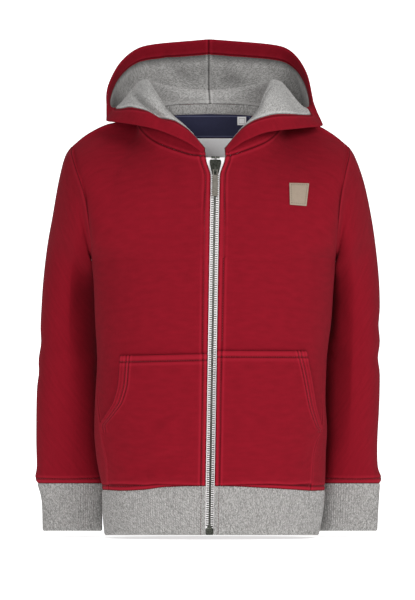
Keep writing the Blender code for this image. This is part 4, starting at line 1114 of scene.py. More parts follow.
def band_row(share):
    """A row of the band from its lower edge (0) to the seam (1)."""
    height = HEM_BOTTOM + share * (band_seam[:, 2] - HEM_BOTTOM)
    in_front = band_seam[:, 1] < 0
    row = band_seam.copy()
    row[:, 2] = height
    for side, chosen in ((LEFT, band_seam[:, 0] > 0), (RIGHT, band_seam[:, 0] <= 0)):
        wide = along(BODY, "height", side, height) / along(BODY, "height", side, band_seam[:, 2])
        row[:, 0] = np.where(chosen, band_seam[:, 0] * wide, row[:, 0])
    for turn, chosen in (("front", in_front), ("back", ~in_front)):
        deep = along(BODY, "height", turn, height) / along(BODY, "height", turn, band_seam[:, 2])
        row[:, 1] = np.where(chosen, band_seam[:, 1] * deep, row[:, 1])
    for end, side in ((0, LEFT), (-1, RIGHT)):
        slip = front_edge(side, height[end]) - row[end, 0]
        near = np.exp(-np.abs(row[:, 0] - row[end, 0]) / BAND_SLIP) * in_front
        row[:, 0] += slip * near
    return row


band = np.array([band_row(share) for share in BAND_SHARES])
band_normals = grid_normals(band)
band = turn_in(draw_back(band, ("last_row",)), band_normals, ("last_row",), *RIB_SEAM_ROLL)
band = turn_in(band, band_normals, ("first_row",), *RIB_FOLD_ROLL)
band_piece = rib_knit("hem_rib", band, band_normals, closed=False)
dress(band_piece, band, ["hem_band"])

CUFF_SHARES = np.unique(np.concatenate([np.linspace(0, 2, 17), [0.03, 0.08, 1.93, 1.97, 1.985]]))
cuff_sheets = {}
for side in SIGN:
    rings = []
    for outer, inner, height, near, far in zip(*CUFF[side].values()):
        outer, inner = (np.array([SIGN[side] * x, 0, height]) for x in (outer, inner))
        rings.append(section((outer + inner) / 2, outer, near, far, CUFF_ROUNDNESS, CUFF_RIBS * RIB_STEPS))
    grid = smooth(np.array(rings), CUFF_SHARES)[::-1]
    normals = grid_normals(grid, flip=side == LEFT, closed=True)
    grid = turn_in(draw_back(grid, ("last_row",)), normals, ("last_row",), *RIB_SEAM_ROLL)
    grid = turn_in(grid, normals, ("first_row",), *RIB_FOLD_ROLL)
    cuff_sheets[side] = grid, normals
    piece = rib_knit("cuff_rib_" + side, grid, normals, closed=True)
    dress(piece, grid, ["cuff_" + side], closed=True)


# ------------------------------------------------------------ Pockets
# Two patch pockets of the same red cloth, laid on the fronts. Each is topstitched along its top
# edge and its zip edge and double-stitched along its curved opening, which gapes a little.

POCKET_TOP = {RIGHT: (-282.2, -279.8), LEFT: (-276.4, -276)}  # at the opening, at the zip
POCKET_OPENING = {
    RIGHT: table("across height", (107, -282.2), (107.5, -312), (112.5, -337), (121, -352), (130, -365.5)),
    LEFT: table("across height", (115, -276.4), (118.5, -303), (124, -342), (130.5, -364), (135, -376)),
}
POCKET = 1.6
POCKET_GAPE = 3.0
POCKET_LIFT = 1.1
GAPE_END = 0.66  # share of the pocket's height down to which it gapes
GAPE_WIDTH = 0.45  # share of its width
SIDE_INSET = 1.2  # from the side seam
ZIP_INSET = 0.8  # from the front's edge
POCKET_FOOT = {"side": -437.0, "zip": -438.2}
TOP_STITCH = 8.4
OPENING_STITCHES = (10.4, 14.6)
OPENING_END = 0.62  # share of the pocket's height down to which they run
OPENING_FADE = 0.03
FAR_AWAY = 40
POCKET_ROLL = (0.9, 1.1)
IN_FRONT = -300  # y from which a piece is laid on the fronts
MISS_STEP = 0.3
POCKET_ZIP_STITCH = 5.8
POCKET_CREASES = {
    RIGHT: (
        (-36, -338, -78, -376, 12, 1.4),
        (-30, -352, -74, -402, 10, -1.2),
        (-88, -402, -34, -386, 9, -1.3),
        (-104, -418, -24, -398, 9, 2.2),
        (-92, -427, -20, -421, 6, -1.8),
        (-112, -376, -92, -412, 8, 1.1),
    ),
    LEFT: (
        (40, -330, 76, -350, 12, 0.7),
        (50, -408, 104, -396, 10, 0.8),
        (112, -372, 96, -418, 8, 0.7),
    ),
}


def search_tree(grid):
    """A search tree of a grid's quads."""
    rows, columns = grid.shape[:2]
    index = np.arange(rows * columns).reshape(rows, columns)
    quads = np.stack([index[:-1, :-1], index[:-1, 1:], index[1:, 1:], index[1:, :-1]], -1).reshape(-1, 4)
    return BVHTree.FromPolygons([Vector(p) for p in grid.reshape(-1, 3)], quads.tolist())


def lay(search, spots, start, towards):
    """Where lines along y from a start meet a piece, at a grid of (x, z) spots. A miss moves to the middle."""
    shape = spots.shape[:2]
    base, away = np.zeros((*shape, 3)), np.zeros((*shape, 3))
    for i, j in np.ndindex(shape):
        across, height = spots[i, j]
        for _ in range(40):
            hit, normal, _, _ = search.ray_cast(Vector((across, start, height)), Vector((0, towards, 0)))
            if hit is not None:
                break
            across -= math.copysign(MISS_STEP, across)
        base[i, j] = hit
        away[i, j] = normal * (-1 if normal[1] * towards > 0 else 1)
    return base, evened(away, 2)


def evened(vectors, times):
    """Unit vectors averaged with their neighbours on the grid."""
    for _ in range(times):
        mean = vectors.copy()
        mean[1:] += vectors[:-1]
        mean[:-1] += vectors[1:]
        mean[:, 1:] += vectors[:, :-1]
        mean[:, :-1] += vectors[:, 1:]
        vectors = unit(mean)
    return vectors


def pocket_spots(side, shares, parts):
    """Where the pocket lies on its front, and how far it stands off it."""
    opening = {name: column[::-1] for name, column in POCKET_OPENING[side].items()}
    top_side, top_zip = POCKET_TOP[side]
    spots = np.zeros((len(shares), len(parts), 2))
    lift = np.zeros((len(shares), len(parts)))
    for i, share in enumerate(shares):
        outer_height = top_side + share * (POCKET_FOOT["side"] - top_side)
        if outer_height > opening["height"][0]:
            edge = along(opening, "height", "across", outer_height)
        else:
            edge = along(SIDE_SEAM, "height", side, outer_height) * along(BODY, "height", side, outer_height)
            edge -= SIDE_INSET
        inner_height = top_zip + share * (POCKET_FOOT["zip"] - top_zip)
        height = inner_height + parts * (outer_height - inner_height)
        start = front_edge(side, height) + SIGN[side] * ZIP_INSET
        spots[i, :, 0] = start + parts * (SIGN[side] * edge - start)
        spots[i, :, 1] = height
        gape = math.sin(math.pi * min(share / GAPE_END, 1)) * ease((parts - 1 + GAPE_WIDTH) / GAPE_WIDTH)
        lift[i] = POCKET_LIFT + POCKET_GAPE * gape
    return spots, lift


# The grid's rows and columns lie closer together along the pocket's edges and under its stitching.
pocket_shares = np.unique(np.concatenate([[0, 0.004, 0.01, 0.02, 0.035], np.linspace(0.043, 0.064, 7),
                                          np.linspace(0.075, 0.98, 52), [0.985, 0.99, 0.996, 1]]))
pocket_parts = np.unique(np.concatenate([[0, 0.006, 0.014, 0.03, 0.045], np.linspace(0.055, 0.082, 6),
                                         np.linspace(0.1, 0.84, 36), np.linspace(0.85, 0.98, 24), [0.987, 0.994, 1]]))
pocket_sheets = {}
for side in SIGN:
    spots, lift = pocket_spots(side, pocket_shares, pocket_parts)
    base, normals = lay(search_tree(front_sheets[side][0]), spots, IN_FRONT, 1)
    normals = evened(normals, 6)
    flat = base + normals * (SEAM_GAP + POCKET + lift)[:, :, None]
    grid = crease(flat, normals, POCKET_CREASES[side])
    grid = press(grid, normals, from_edge(flat, "first_row") - TOP_STITCH)
    grid = press(grid, normals, from_edge(flat, "first_column") - POCKET_ZIP_STITCH)
    opens = ease((OPENING_END - pocket_shares) / OPENING_FADE)[:, None]
    stitches = [from_edge(flat, "first_row") - TOP_STITCH, from_edge(flat, "first_column") - POCKET_ZIP_STITCH]
    for place in OPENING_STITCHES:
        distance = from_edge(flat, "last_column") - place + FAR_AWAY * (1 - opens)
        grid = press(grid, normals, distance)
        stitches.append(distance)
    painted_shading = painted_seam_shading([from_edge(flat, edge) for edge in EDGES], stitches)
    grid = turn_in(grid, normals, EDGES, *POCKET_ROLL)
    pocket_sheets[side] = grid, normals
    piece = cloth("pocket_cloth_" + side, grid, grid - normals * POCKET, RED)
    # painted seam shade and highlight, kept on the piece for its material
    keep_painted_shading(piece, painted_shading)
    dress(piece, grid, ["pocket_" + side])


# ------------------------------------------------------------ Hood
# A two-piece hood, thrown back: it folds over at the neck, lies down behind and stands up again
# to its rim. A red shell outside, a grey melange jersey lining, and a red facing inside the rim.

SHELL = 1.2
LINING = 1.2
LAYER_GAP = 0.4
FACING_WIDTH = 20.0
FACING_MOST = 0.45  # of the way from the neck seam to the rim
LOW_MOST = 0.8  # of the way from the neck seam to the facing
HOOD = {
    "fold": table(
        "station across depth height",
        (0.00, 5.8, -77, -35.5),
        (0.09, 25.5, -70, -15),
        (0.25, 54, -50, 9),
        (0.39, 66, -24, 28),
        (0.51, 73, 6, 43),
        (0.61, 69, 30, 43),
        (0.74, 54, 52, 41),
        (0.87, 30, 69, 37),
        (1.00, 0, 77, 34.5),
    ),
    "inside": table(
        "station across depth height",
        (0.00, 6.2, -78.4, -34.8),
        (0.09, 25.8, -73, -12.8),
        (0.25, 55.5, -54.5, 13.5),
        (0.39, 70.5, -27.5, 35),
        (0.51, 82.5, 5, 46),
        (0.61, 85, 34, 39.5),
        (0.74, 70, 66, 26),
        (0.87, 38, 87, 14),
        (1.00, 0, 97, 4),
    ),
    "low": table(
        "station across depth height",
        (0.00, 6.8, -79.4, -34.9),
        (0.09, 26.3, -77, -12.7),
        (0.25, 58, -60.5, 13.5),
        (0.39, 77, -32, 34.5),
        (0.51, 91, 2, 38),
        (0.61, 97, 33, 14),
        (0.74, 88, 78, -22),
        (0.87, 58, 104, -66),
        (1.00, 0, 109, -86),
    ),
    "under": table(
        "station across depth height",
        (0.00, 7.4, -80.4, -35.6),
        (0.09, 27, -80.6, -15),
        (0.25, 61, -66.5, 9),
        (0.39, 86, -38, 25),
        (0.51, 104, -3, 22),
        (0.61, 109, 27, 5),
        (0.74, 102, 78, -32),
        (0.87, 72, 118, -74),
        (1.00, 0, 130, -95),
    ),
    "outside": table(
        "station across depth height",
        (0.00, 8.2, -81.6, -37),
        (0.09, 27.8, -84, -19.5),
        (0.25, 65, -72, 0.5),
        (0.39, 95.5, -43.5, 11.5),
        (0.51, 116, -10, 10),
        (0.61, 120, 18, 16),
        (0.74, 115, 64, 14),
        (0.87, 92, 112, 4),
        (1.00, 0, 143, -22),
    ),
}
HOOD_RIM = table(
    "station right left depth right_height left_height",
    (0.00, 9, 20, -83, -39.5, -39.5),
    (0.09, 27, 44, -88, -27, -24),
    (0.25, 69, 72, -76, -10, -14),
    (0.39, 104, 112, -48, -3.5, -9.5),
    (0.51, 124.5, 135.5, -16, -0.5, -6),
    (0.61, 123.8, 124, 10, 30, 22),
    (0.74, 114, 115, 44, 59.5, 58),
    (0.87, 80, 87, 76, 88.5, 88),
    (1.00, 2.5, 2.5, 92, 97, 97),
)
HOOD_MIDDLE = -1.5
HOOD_LEAN = {RIGHT: 0.0, LEFT: 12.0}  # further from the middle at the zip, which is off centre
HOOD_LEAN_END = 0.5
HOOD_LOW = 4.2  # line of the tables up to which the hood's rows follow its folds
HOOD_ROWS = 56
HOOD_STEPS = 241  # points of each line from which its rows are taken
SHELL_BACK = 0.2  # how far out its inner side lies, as a share of half the gap to the lining
HOOD_FINER = 3  # points along the neckline for each step of its pieces
NEAR_MIDDLE = (0.04, 0.09, 0.15, 0.22, 0.42, 0.52, 0.8)  # more points by the seam down the middle
RISING_ROWS = 16
FACING_ROWS = 10
FACING_STITCH = 1.8  # inside the facing's edge
HOOD_SEAM_ROLL = (0.5, 1.4)
HOOD_RIM_ROLL = (1.0, 1.0)
HOOD_FOLDS = (  # lines and troughs (above 0) of the whole hood, on the side of its lining
    (-104, 46, -40, -4, 3.4, 9.0),
    (-112, 30, -56, -4, 6.0, -3.0),
    (-84, 52, -46, 8, 6.0, -2.5),
    (96, 62, 112, 4, 7.0, 9.0),
    (84, 50, 62, 4, 6.0, -3.0),
    (-2, 68, -7, 30, 5.0, 6.5),
    (-58, 80, -24, 42, 7.0, 4.0),
    (18, 80, 50, 40, 7.0, -2.5),
    (60, 74, 80, 50, 6.0, 2.6),
    (-60, 33, 56, 31, 4.5, -2.0),
    (-60, 22, 52, 19, 4.5, 2.4),
    (-46, 49, -6, 44, 4.4, 11.0),
    (3, 42, 44, 48, 4.4, 11.0),
)
HOOD_CREASES = (
    (-118, 8, -96, 52, 9, -0.8),
    (-60, 74, -30, 92, 10, 0.5),
    (118, 6, 100, 50, 9, -0.8),
    (64, 74, 30, 90, 11, 0.5),
)
JERSEY_SHADES = ((0.52, 0.51, 0.50, 1), (0.31, 0.305, 0.295, 1), (0.14, 0.137, 0.134, 1))
GREY_JERSEY = grey_knit("grey_jersey", JERSEY_SHADES, 0.00045, 0.0014, 0.0010, 0.4)


def hood_grid(side, neck, neck_normals):
    """Columns from the zip to the middle of the back, each from the neck seam to the rim."""
    sign = SIGN[side]
    walk = lengths_along(neck)
    grid = []
    for point, normal, share in zip(neck, neck_normals, walk / walk[-1]):
        controls = [point - normal * CLOTH / 2]
        for line in HOOD.values():
            across, depth, height = (along(line, "station", name, share) for name in ("across", "depth", "height"))
            across += HOOD_LEAN[side] * ease(1 - share / HOOD_LEAN_END)
            controls.append(np.array([sign * across, depth, height]))
        controls.append(np.array([sign * along(HOOD_RIM, "station", side, share),
                                  along(HOOD_RIM, "station", "depth", share),
                                  along(HOOD_RIM, "station", side + "_height", share)]))
        if share > 1 - 1e-6:
            for control in controls[1:]:
                control[0] = HOOD_MIDDLE
            controls[0][0] = 0
        steps = np.linspace(0, len(controls) - 1, HOOD_STEPS)
        dense = smooth(controls, steps)
        lengths = lengths_along(dense)
        facing_start = lengths[-1] - min(FACING_WIDTH, FACING_MOST * lengths[-1])
        low = min(np.interp(HOOD_LOW, steps, lengths), LOW_MOST * facing_start)
        body = np.interp(np.linspace(0, np.interp(low, lengths, steps), HOOD_ROWS + 1), steps, lengths)
        rising = np.linspace(low, facing_start, RISING_ROWS + 1)[1:]
        edge = np.linspace(facing_start, lengths[-1], FACING_ROWS + 1)[1:]
        grid.append(between(np.concatenate([body, rising, edge]), lengths, dense))
    return np.array(grid)


hood_sheets = {}
for side in SIGN:
    front_neck = fronts[side][-1][:NECK_STEPS + 1]
    back_neck = half_backs[side][-1][:NECK_STEPS + 1][::-1]
    neck = np.vstack([front_neck, back_neck[1:]])
    neck_normals = seams.normals(neck[None])[0]
    grid = hood_grid(side, neck, neck_normals)
    away = grid_normals(grid, flip=side == LEFT)
    away[:, 0] = neck_normals
    away[-1, :, 0] = 0
    away = evened(away, 2)
    away[-1, :, 0] = 0
    away = unit(away)
    finer = places(HOOD_FINER * (len(grid) - 1)) / HOOD_FINER
    finer = np.unique(np.concatenate([finer, len(grid) - 1 - np.array(NEAR_MIDDLE)]))
    grid, away = smooth(grid, finer), unit(smooth(away, finer))
    grid = draw_back(crease(grid, -away, HOOD_FOLDS), ("first_row",))
    gap = LAYER_GAP / 2
    outer = crease(grid + away * (gap + SHELL), away, HOOD_CREASES)
    outer = press(outer, away, from_edge(grid, "last_column") - FACING_WIDTH)
    outer = turn_in(outer, away, ("last_row",), *HOOD_SEAM_ROLL)
    outer = turn_in(outer, away, ("last_column",), *HOOD_RIM_ROLL)
    piece = cloth("hood_shell_" + side, outer, grid + away * gap * SHELL_BACK, RED, sharp=SHARP_SOFT)
    # painted seam shade and highlight, kept on the piece for its material
    keep_painted_shading(piece, painted_seam_shading([from_edge(grid, edge) for edge in ("first_row", "last_row", "first_column")],
                           [from_edge(grid, "last_column") - FACING_WIDTH]))
    hood_sheets[side] = outer, away
    dress(piece, outer, ["hood_outer_" + side])
    split = grid.shape[1] - FACING_ROWS
    inner, deeper = grid - away * gap, grid - away * (gap + LINING)
    lining, lining_back = (draw_back(g[:, :split], ("last_column",), SEAM_GAP / 2) for g in (deeper, inner))
    facing, facing_back = (draw_back(g[:, split - 1:], ("first_column",), SEAM_GAP / 2) for g in (deeper, grid))
    lining_away, facing_away = -away[:, :split], -away[:, split - 1:]
    lining = turn_in(lining, lining_away, ("last_row", "last_column"), *HOOD_SEAM_ROLL)
    facing = turn_in(facing, facing_away, ("last_row", "first_column"), *HOOD_SEAM_ROLL)
    facing = turn_in(facing, facing_away, ("last_column",), *HOOD_RIM_ROLL)
    facing = press(facing, facing_away, from_edge(facing, "first_column") - FACING_STITCH)
    piece = cloth("hood_lining_cloth_" + side, lining, lining_back, GREY_JERSEY, sharp=SHARP_SOFT)
    # painted seam shade and highlight, kept on the piece for its material
    keep_painted_shading(piece, painted_seam_shading([from_edge(lining, edge) for edge in ("last_row", "first_column", "last_column")], []))
    dress(piece, lining, ["hood_lining_" + side])
    piece = cloth("hood_facing_cloth_" + side, facing, facing_back, RED, sharp=SHARP_SOFT)
    # painted seam shade and highlight, kept on the piece for its material
    keep_painted_shading(piece, painted_seam_shading([from_edge(facing, "last_row")], [from_edge(facing, "first_column") - FACING_STITCH]))
    dress(piece, facing, ["hood_facing_" + side])


# ------------------------------------------------------------ Zip
# A metal zip on two white woven tapes sewn behind the fronts. The teeth are clamped on the tapes'
# corded edges; two stops end the rows at the top, and a pin in a box joins them at the bottom.

TAPE = 0.8
TAPE_COLUMNS = (1.3, 1.5, 1.9, 2.3, 2.7, 3.1, 4.5, 7, 10, 13, 13.7, 14)  # from the middle of the zip
TAPE_BOTTOM = HEM_BOTTOM + 0.5
TAPE_TOP = ZIP_TOP - 1.0
TAPE_BEHIND = SEAM_GAP + 0.25  # how far the tapes lie behind the fronts
CORD_RAISE = 0.35
CORD_PLACE = 2.0  # from the middle of the zip
CORD_REACH = 0.55
BAND_STEP = -436.0  # where the tapes step back behind the thicker hem band
BAND_STEP_LENGTH = 12
TOOTH_PITCH = 2.65
TOOTH_DEPTH = 2.4
SLIDER_TOP = -47.5
SLIDER_LENGTH = 19.0
BOX_HEIGHT = 9.0
TEETH_IN_SLIDER = 5  # how far the rows of teeth run up into it
TEETH_OVER_BOX = 1.5
CAST_CORNER = 0.18
CAST_EDGE = 0.28
CAST_ANGLE = 35
CAST_SHARP = 40
TOOTH = (  # half a tooth's outline from its head to its root: across from the zip's middle, along the zip
    (-1.15, 0.30),
    (-0.95, 0.60),
    (-0.30, 0.66),
    (0.35, 0.50),
    (1.50, 0.50),
    (1.85, 0.64),
    (4.00, 0.62),
    (4.25, 0.36),
)
STOP = ((0.35, 0.8), (0.6, 1.2), (4.8, 1.2), (5.1, 0.8))
STOP_DEPTH = 2.6
STOP_FORWARD = 0.3
BOX = ((-4.6, 2.6), (-4.2, 3.6), (-3.2, 4.3), (3.2, 4.3), (4.2, 3.6), (4.6, 2.6))
BOX_DEPTH = 2.8
BOX_MIDDLE = HEM_BOTTOM + 4.4
PIN = ((-2.6, 1.2), (-2.0, 2.2), (-0.8, 2.9), (0.8, 2.9), (2.0, 2.2), (2.6, 1.2))
PIN_DEPTH = 2.4
PIN_MIDDLE = HEM_BOTTOM + 9.6


def weave_group():
    """Woven threads: a fine twill, as a height from 0 to 1, with a slow unevenness."""
    tree, start, end = node_group(
        "woven_twill", "ShaderNodeTree",
        {"Cut": (VECTOR, None), "Thread": (FLOAT, 0.0004), "Slope": (FLOAT, 1.0)},
        {"Height": FLOAT, "Unevenness": FLOAT})
    cut = node(tree, "ShaderNodeSeparateXYZ", {0: start.outputs["Cut"]})
    across = math_node(tree, "DIVIDE", cut.outputs[0], start.outputs["Thread"])
    up = math_node(tree, "DIVIDE", cut.outputs[1], start.outputs["Thread"])
    warp = math_node(tree, "ABSOLUTE", math_node(tree, "SINE", math_node(tree, "MULTIPLY", across, math.pi)))
    weft = math_node(tree, "ABSOLUTE", math_node(tree, "SINE", math_node(tree, "MULTIPLY", up, math.pi)))
    step = math_node(tree, "MULTIPLY_ADD", math_node(tree, "FLOOR", up), start.outputs["Slope"],
                     math_node(tree, "FLOOR", across))
    over = math_node(tree, "GREATER_THAN", math_node(tree, "FRACT", math_node(tree, "DIVIDE", step, 3)), 0.5)
    height = math_node(tree, "ADD", math_node(tree, "MULTIPLY", warp, over),
                       math_node(tree, "MULTIPLY", weft, math_node(tree, "SUBTRACT", 1.0, over)))
    slow = node(tree, "ShaderNodeTexNoise", {"Vector": start.outputs["Cut"], "Scale": 260.0, "Detail": 4.0})
    tree.links.new(height, end.inputs["Height"])
    tree.links.new(slow.outputs["Fac"], end.inputs["Unevenness"])
    return tree


def border_group():
    """A mask of a frame line a little way in from the four edges of a label."""
    tree, start, end = node_group(
        "woven_border", "ShaderNodeTree",
        {"Cut": (VECTOR, None), "Wide": (FLOAT, 0.08), "Long": (FLOAT, 0.03), "Inset": (FLOAT, 0.0025),
         "Line": (FLOAT, 0.0008)},
        {"Mask": FLOAT})
    cut = node(tree, "ShaderNodeSeparateXYZ", {0: start.outputs["Cut"]})
    nearest = None
    for place, size in ((cut.outputs[0], "Wide"), (cut.outputs[1], "Long")):
        edge = math_node(tree, "MINIMUM", place, math_node(tree, "SUBTRACT", start.outputs[size], place))
        nearest = edge if nearest is None else math_node(tree, "MINIMUM", nearest, edge)
    beside = math_node(tree, "ABSOLUTE", math_node(tree, "SUBTRACT", nearest, start.outputs["Inset"]))
    half_line = math_node(tree, "MULTIPLY", start.outputs["Line"], 0.5)
    tree.links.new(math_node(tree, "LESS_THAN", beside, half_line), end.inputs["Mask"])
    return tree


def wear_group():
    """Metal that is brighter where it is rubbed and duller where it is tarnished."""
    tree, start, end = node_group(
        "worn_metal", "ShaderNodeTree",
        {"Place": (VECTOR, None), "Bright": (COLOUR, (0.5, 0.5, 0.5, 1)), "Dull": (COLOUR, (0.1, 0.1, 0.1, 1)),
         "Scale": (FLOAT, 900.0)},
        {"Color": COLOUR, "Roughness": FLOAT, "Height": FLOAT})
    blotch = node(tree, "ShaderNodeTexNoise", {"Vector": start.outputs["Place"], "Scale": start.outputs["Scale"],
                                               "Detail": 5.0, "Roughness": 0.6})
    fine = node(tree, "ShaderNodeTexNoise", {"Vector": start.outputs["Place"], "Detail": 2.0,
                                             "Scale": math_node(tree, "MULTIPLY", start.outputs["Scale"], 7.0)})
    worn = node(tree, "ShaderNodeMapRange", {"Value": blotch.outputs["Fac"], 1: 0.35, 2: 0.65})
    tree.links.new(mixed(tree, worn.outputs[0], start.outputs["Dull"], start.outputs["Bright"]), end.inputs["Color"])
    rough = math_node(tree, "MULTIPLY_ADD", fine.outputs["Fac"], 0.25,
                      math_node(tree, "MULTIPLY_ADD", worn.outputs[0], -0.12, 0.3))
    tree.links.new(rough, end.inputs["Roughness"])
    tree.links.new(fine.outputs["Fac"], end.inputs["Height"])
    return tree


woven_twill = weave_group()
woven_border = border_group()
worn_metal = wear_group()


def woven(name, colour, shaded, thread, slope=1.0, roughness=0.8, frame_line=None, size=(0, 0), inset=0.0025,
          line=0.0008):
    """A woven tape or label: its colour, the painted shade between its threads, and a frame line if it has one."""
    made, tree, shader = new_material(name, roughness, Specular_IOR_Level=0.25, Sheen_Weight=0.05)
    cut = node(tree, "ShaderNodeUVMap", uv_map="cut")
    weave = group_node(tree, woven_twill, {"Cut": cut.outputs[0], "Thread": thread, "Slope": slope})
    # lighter on the threads and darker between them, a painted shade, and a slow tone that varies at random
    amount = math_node(tree, "MULTIPLY_ADD", weave.outputs["Unevenness"], 0.5,
                       math_node(tree, "MULTIPLY_ADD", weave.outputs["Height"], 0.7, -0.1))
    result, height = mixed(tree, amount, shaded, colour), weave.outputs["Height"]
    if frame_line:
        border = group_node(tree, woven_border, {"Cut": cut.outputs[0], "Wide": size[0], "Long": size[1],
                                                 "Inset": inset, "Line": line})
        result = mixed(tree, border.outputs["Mask"], result, frame_line)
        height = math_node(tree, "MULTIPLY_ADD", border.outputs["Mask"], 0.8, height)
    tree.links.new(result, shader.inputs["Base Color"])
    add_bumps(tree, shader, (0.5, 0.0001, height))
    return made


def metal(name, bright, dull, scale):
    """A metal part's finish. Its places are read in the part's own frame."""
    made, tree, shader = new_material(name, 0.4, Metallic=1.0)
    place = tree.nodes.new("ShaderNodeTexCoord")
    wear = group_node(tree, worn_metal, {"Place": place.outputs["Object"], "Bright": bright, "Dull": dull,
                                         "Scale": scale})
    tree.links.new(wear.outputs["Color"], shader.inputs["Base Color"])
    tree.links.new(wear.outputs["Roughness"], shader.inputs["Roughness"])
    add_bumps(tree, shader, (0.25, 0.00005, wear.outputs["Height"]))
    return made


ZIP_WHITE = woven("white_tape", (0.93, 0.91, 0.91, 1), (0.70, 0.68, 0.68, 1), 0.00055)
GUNMETAL = metal("gunmetal", (0.085, 0.090, 0.076, 1), (0.020, 0.021, 0.017, 1), 700.0)
TOOTH_METAL = metal("tooth_metal", (0.105, 0.105, 0.095, 1), (0.035, 0.035, 0.030, 1), 700.0)
TAB_METAL = metal("tab_metal", (0.20, 0.185, 0.160, 1), (0.105, 0.095, 0.082, 1), 400.0)


def zip_depth(height):
    """y of the tapes' outer side, behind the fronts and, lower down, behind the thicker hem band."""
    step = (RIB - CLOTH) * ease((BAND_STEP - height) / BAND_STEP_LENGTH)
    return -along(BODY, "height", "front", height) + CLOTH + TAPE_BEHIND + step


tape_heights = np.linspace(TAPE_BOTTOM, TAPE_TOP, 150)
tape_across = np.array(TAPE_COLUMNS)
cord = CORD_RAISE * fade(tape_across - CORD_PLACE, CORD_REACH)
for side in SIGN:
    across = zip_x(tape_heights)[:, None] + SIGN[side] * tape_across[None, :]
    level = np.broadcast_to(tape_heights[:, None], across.shape)
    depth = zip_depth(tape_heights)[:, None] - cord[None, :]
    grid = np.stack([across, depth, level], axis=-1)
    under = np.stack([across, zip_depth(tape_heights)[:, None] + TAPE + 0.5 * cord[None, :], level], axis=-1)
    piece = cloth("zip_tape_cloth_" + side, grid, under, ZIP_WHITE)
    dress(piece, grid, ["zip_tape_" + side])


def thick_outline(half_outline, depth):
    """A flat part's closed mesh: its half outline mirrored along the zip, thick across, with soft edges."""
    outline = list(half_outline) + [(x, -y) for x, y in half_outline[::-1]]
    middle = np.mean(outline, axis=0)
    span = np.max(np.abs(np.array(outline) - middle), axis=0)
    vertices = []
    half = depth / 2
    for level, inset in ((-half, CAST_CORNER), (CAST_CORNER - half, 0), (half - CAST_CORNER, 0), (half, CAST_CORNER)):
        vertices += [(*(middle + (point - middle) * (1 - inset / span)), level) for point in np.array(outline)]
    count = len(outline)
    faces = [tuple(range(count)), tuple(range(3 * count, 4 * count))[::-1]]
    for row, i in np.ndindex(3, count):
        low, high, after = row * count, (row + 1) * count, (i + 1) % count
        faces.append((low + i, high + i, high + after, low + after))
    return np.array(vertices), faces


def plain_mesh(name, vertices, faces):
    """A mesh in metres from points in millimetres."""
    mesh = bpy.data.meshes.new(name)
    mesh.from_pydata((np.asarray(vertices) * MM).tolist(), [], faces)
    return mesh


def even_places(tree, start):
    """Even points along a tree's lines, the way each line runs there and the way out from the garment."""
    curve = node(tree, "GeometryNodeMeshToCurve", {"Mesh": start.outputs["Lines"]})
    spaced = node(tree, "GeometryNodeResampleCurve", {"Curve": curve.outputs[0], "Length": start.outputs["Pitch"]},
                  mode="LENGTH")
    tangent = tree.nodes.new("GeometryNodeInputTangent")
    out = node(tree, "GeometryNodeInputNamedAttribute", {"Name": "out"}, data_type="FLOAT_VECTOR")
    return spaced.outputs[0], tangent.outputs[0], out.outputs[0]


def row_tree():
    """Puts one part, over and over, along lines: its y runs down each line and its z stands out from it."""
    tree, start, end = node_group(
        "rows_of_teeth", "GeometryNodeTree",
        {"Lines": (GEOMETRY, None), "Part": ("NodeSocketObject", None), "Pitch": (FLOAT, 0.0035),
         "Material": (MATERIAL, None), "Seed": ("NodeSocketInt", 1)},
        {"Geometry": GEOMETRY})
    points, tangent, out = even_places(tree, start)
    turn = node(tree, "FunctionNodeAxesToRotation", {0: tangent, 1: out}, primary_axis="Y", secondary_axis="Z")
    part = node(tree, "GeometryNodeObjectInfo", {"Object": start.outputs["Part"]})
    size = node(tree, "FunctionNodeRandomValue", {"Seed": start.outputs["Seed"]}, data_type="FLOAT")
    size.inputs[2].default_value, size.inputs[3].default_value = 0.97, 1.03
    many = node(tree, "GeometryNodeInstanceOnPoints", {"Points": points, "Instance": part.outputs["Geometry"],
                                                       "Rotation": turn.outputs[0], "Scale": size.outputs[1]})
    return end_tree(tree, start, end, many.outputs[0])


def lines_object(name, lines):
    """A mesh of edges along lines of (points, outward directions), with the directions as an attribute."""
    points = np.vstack([line for line, _ in lines]) * MM
    outward = np.vstack([out for _, out in lines])
    edges, first = [], 0
    for line, _ in lines:
        edges += [(first + i, first + i + 1) for i in range(len(line) - 1)]
        first += len(line)
    mesh = bpy.data.meshes.new(name)
    mesh.from_pydata(points.tolist(), edges, [])
    mesh.attributes.new("out", "FLOAT_VECTOR", "POINT").data.foreach_set("vector", outward.ravel())
    return add_object(name, mesh)


def zip_middle(height):
    """The middle of the teeth at heights, and the direction out from the zip."""
    depth = zip_depth(height) + TAPE / 2
    slope = (zip_depth(height + 1) - zip_depth(height - 1)) / 2
    out = np.stack([0 * height, -np.ones_like(height), slope], axis=-1)
    out /= np.linalg.norm(out, axis=-1)[..., None]
    return np.stack([zip_x(height), depth, height], axis=-1), out


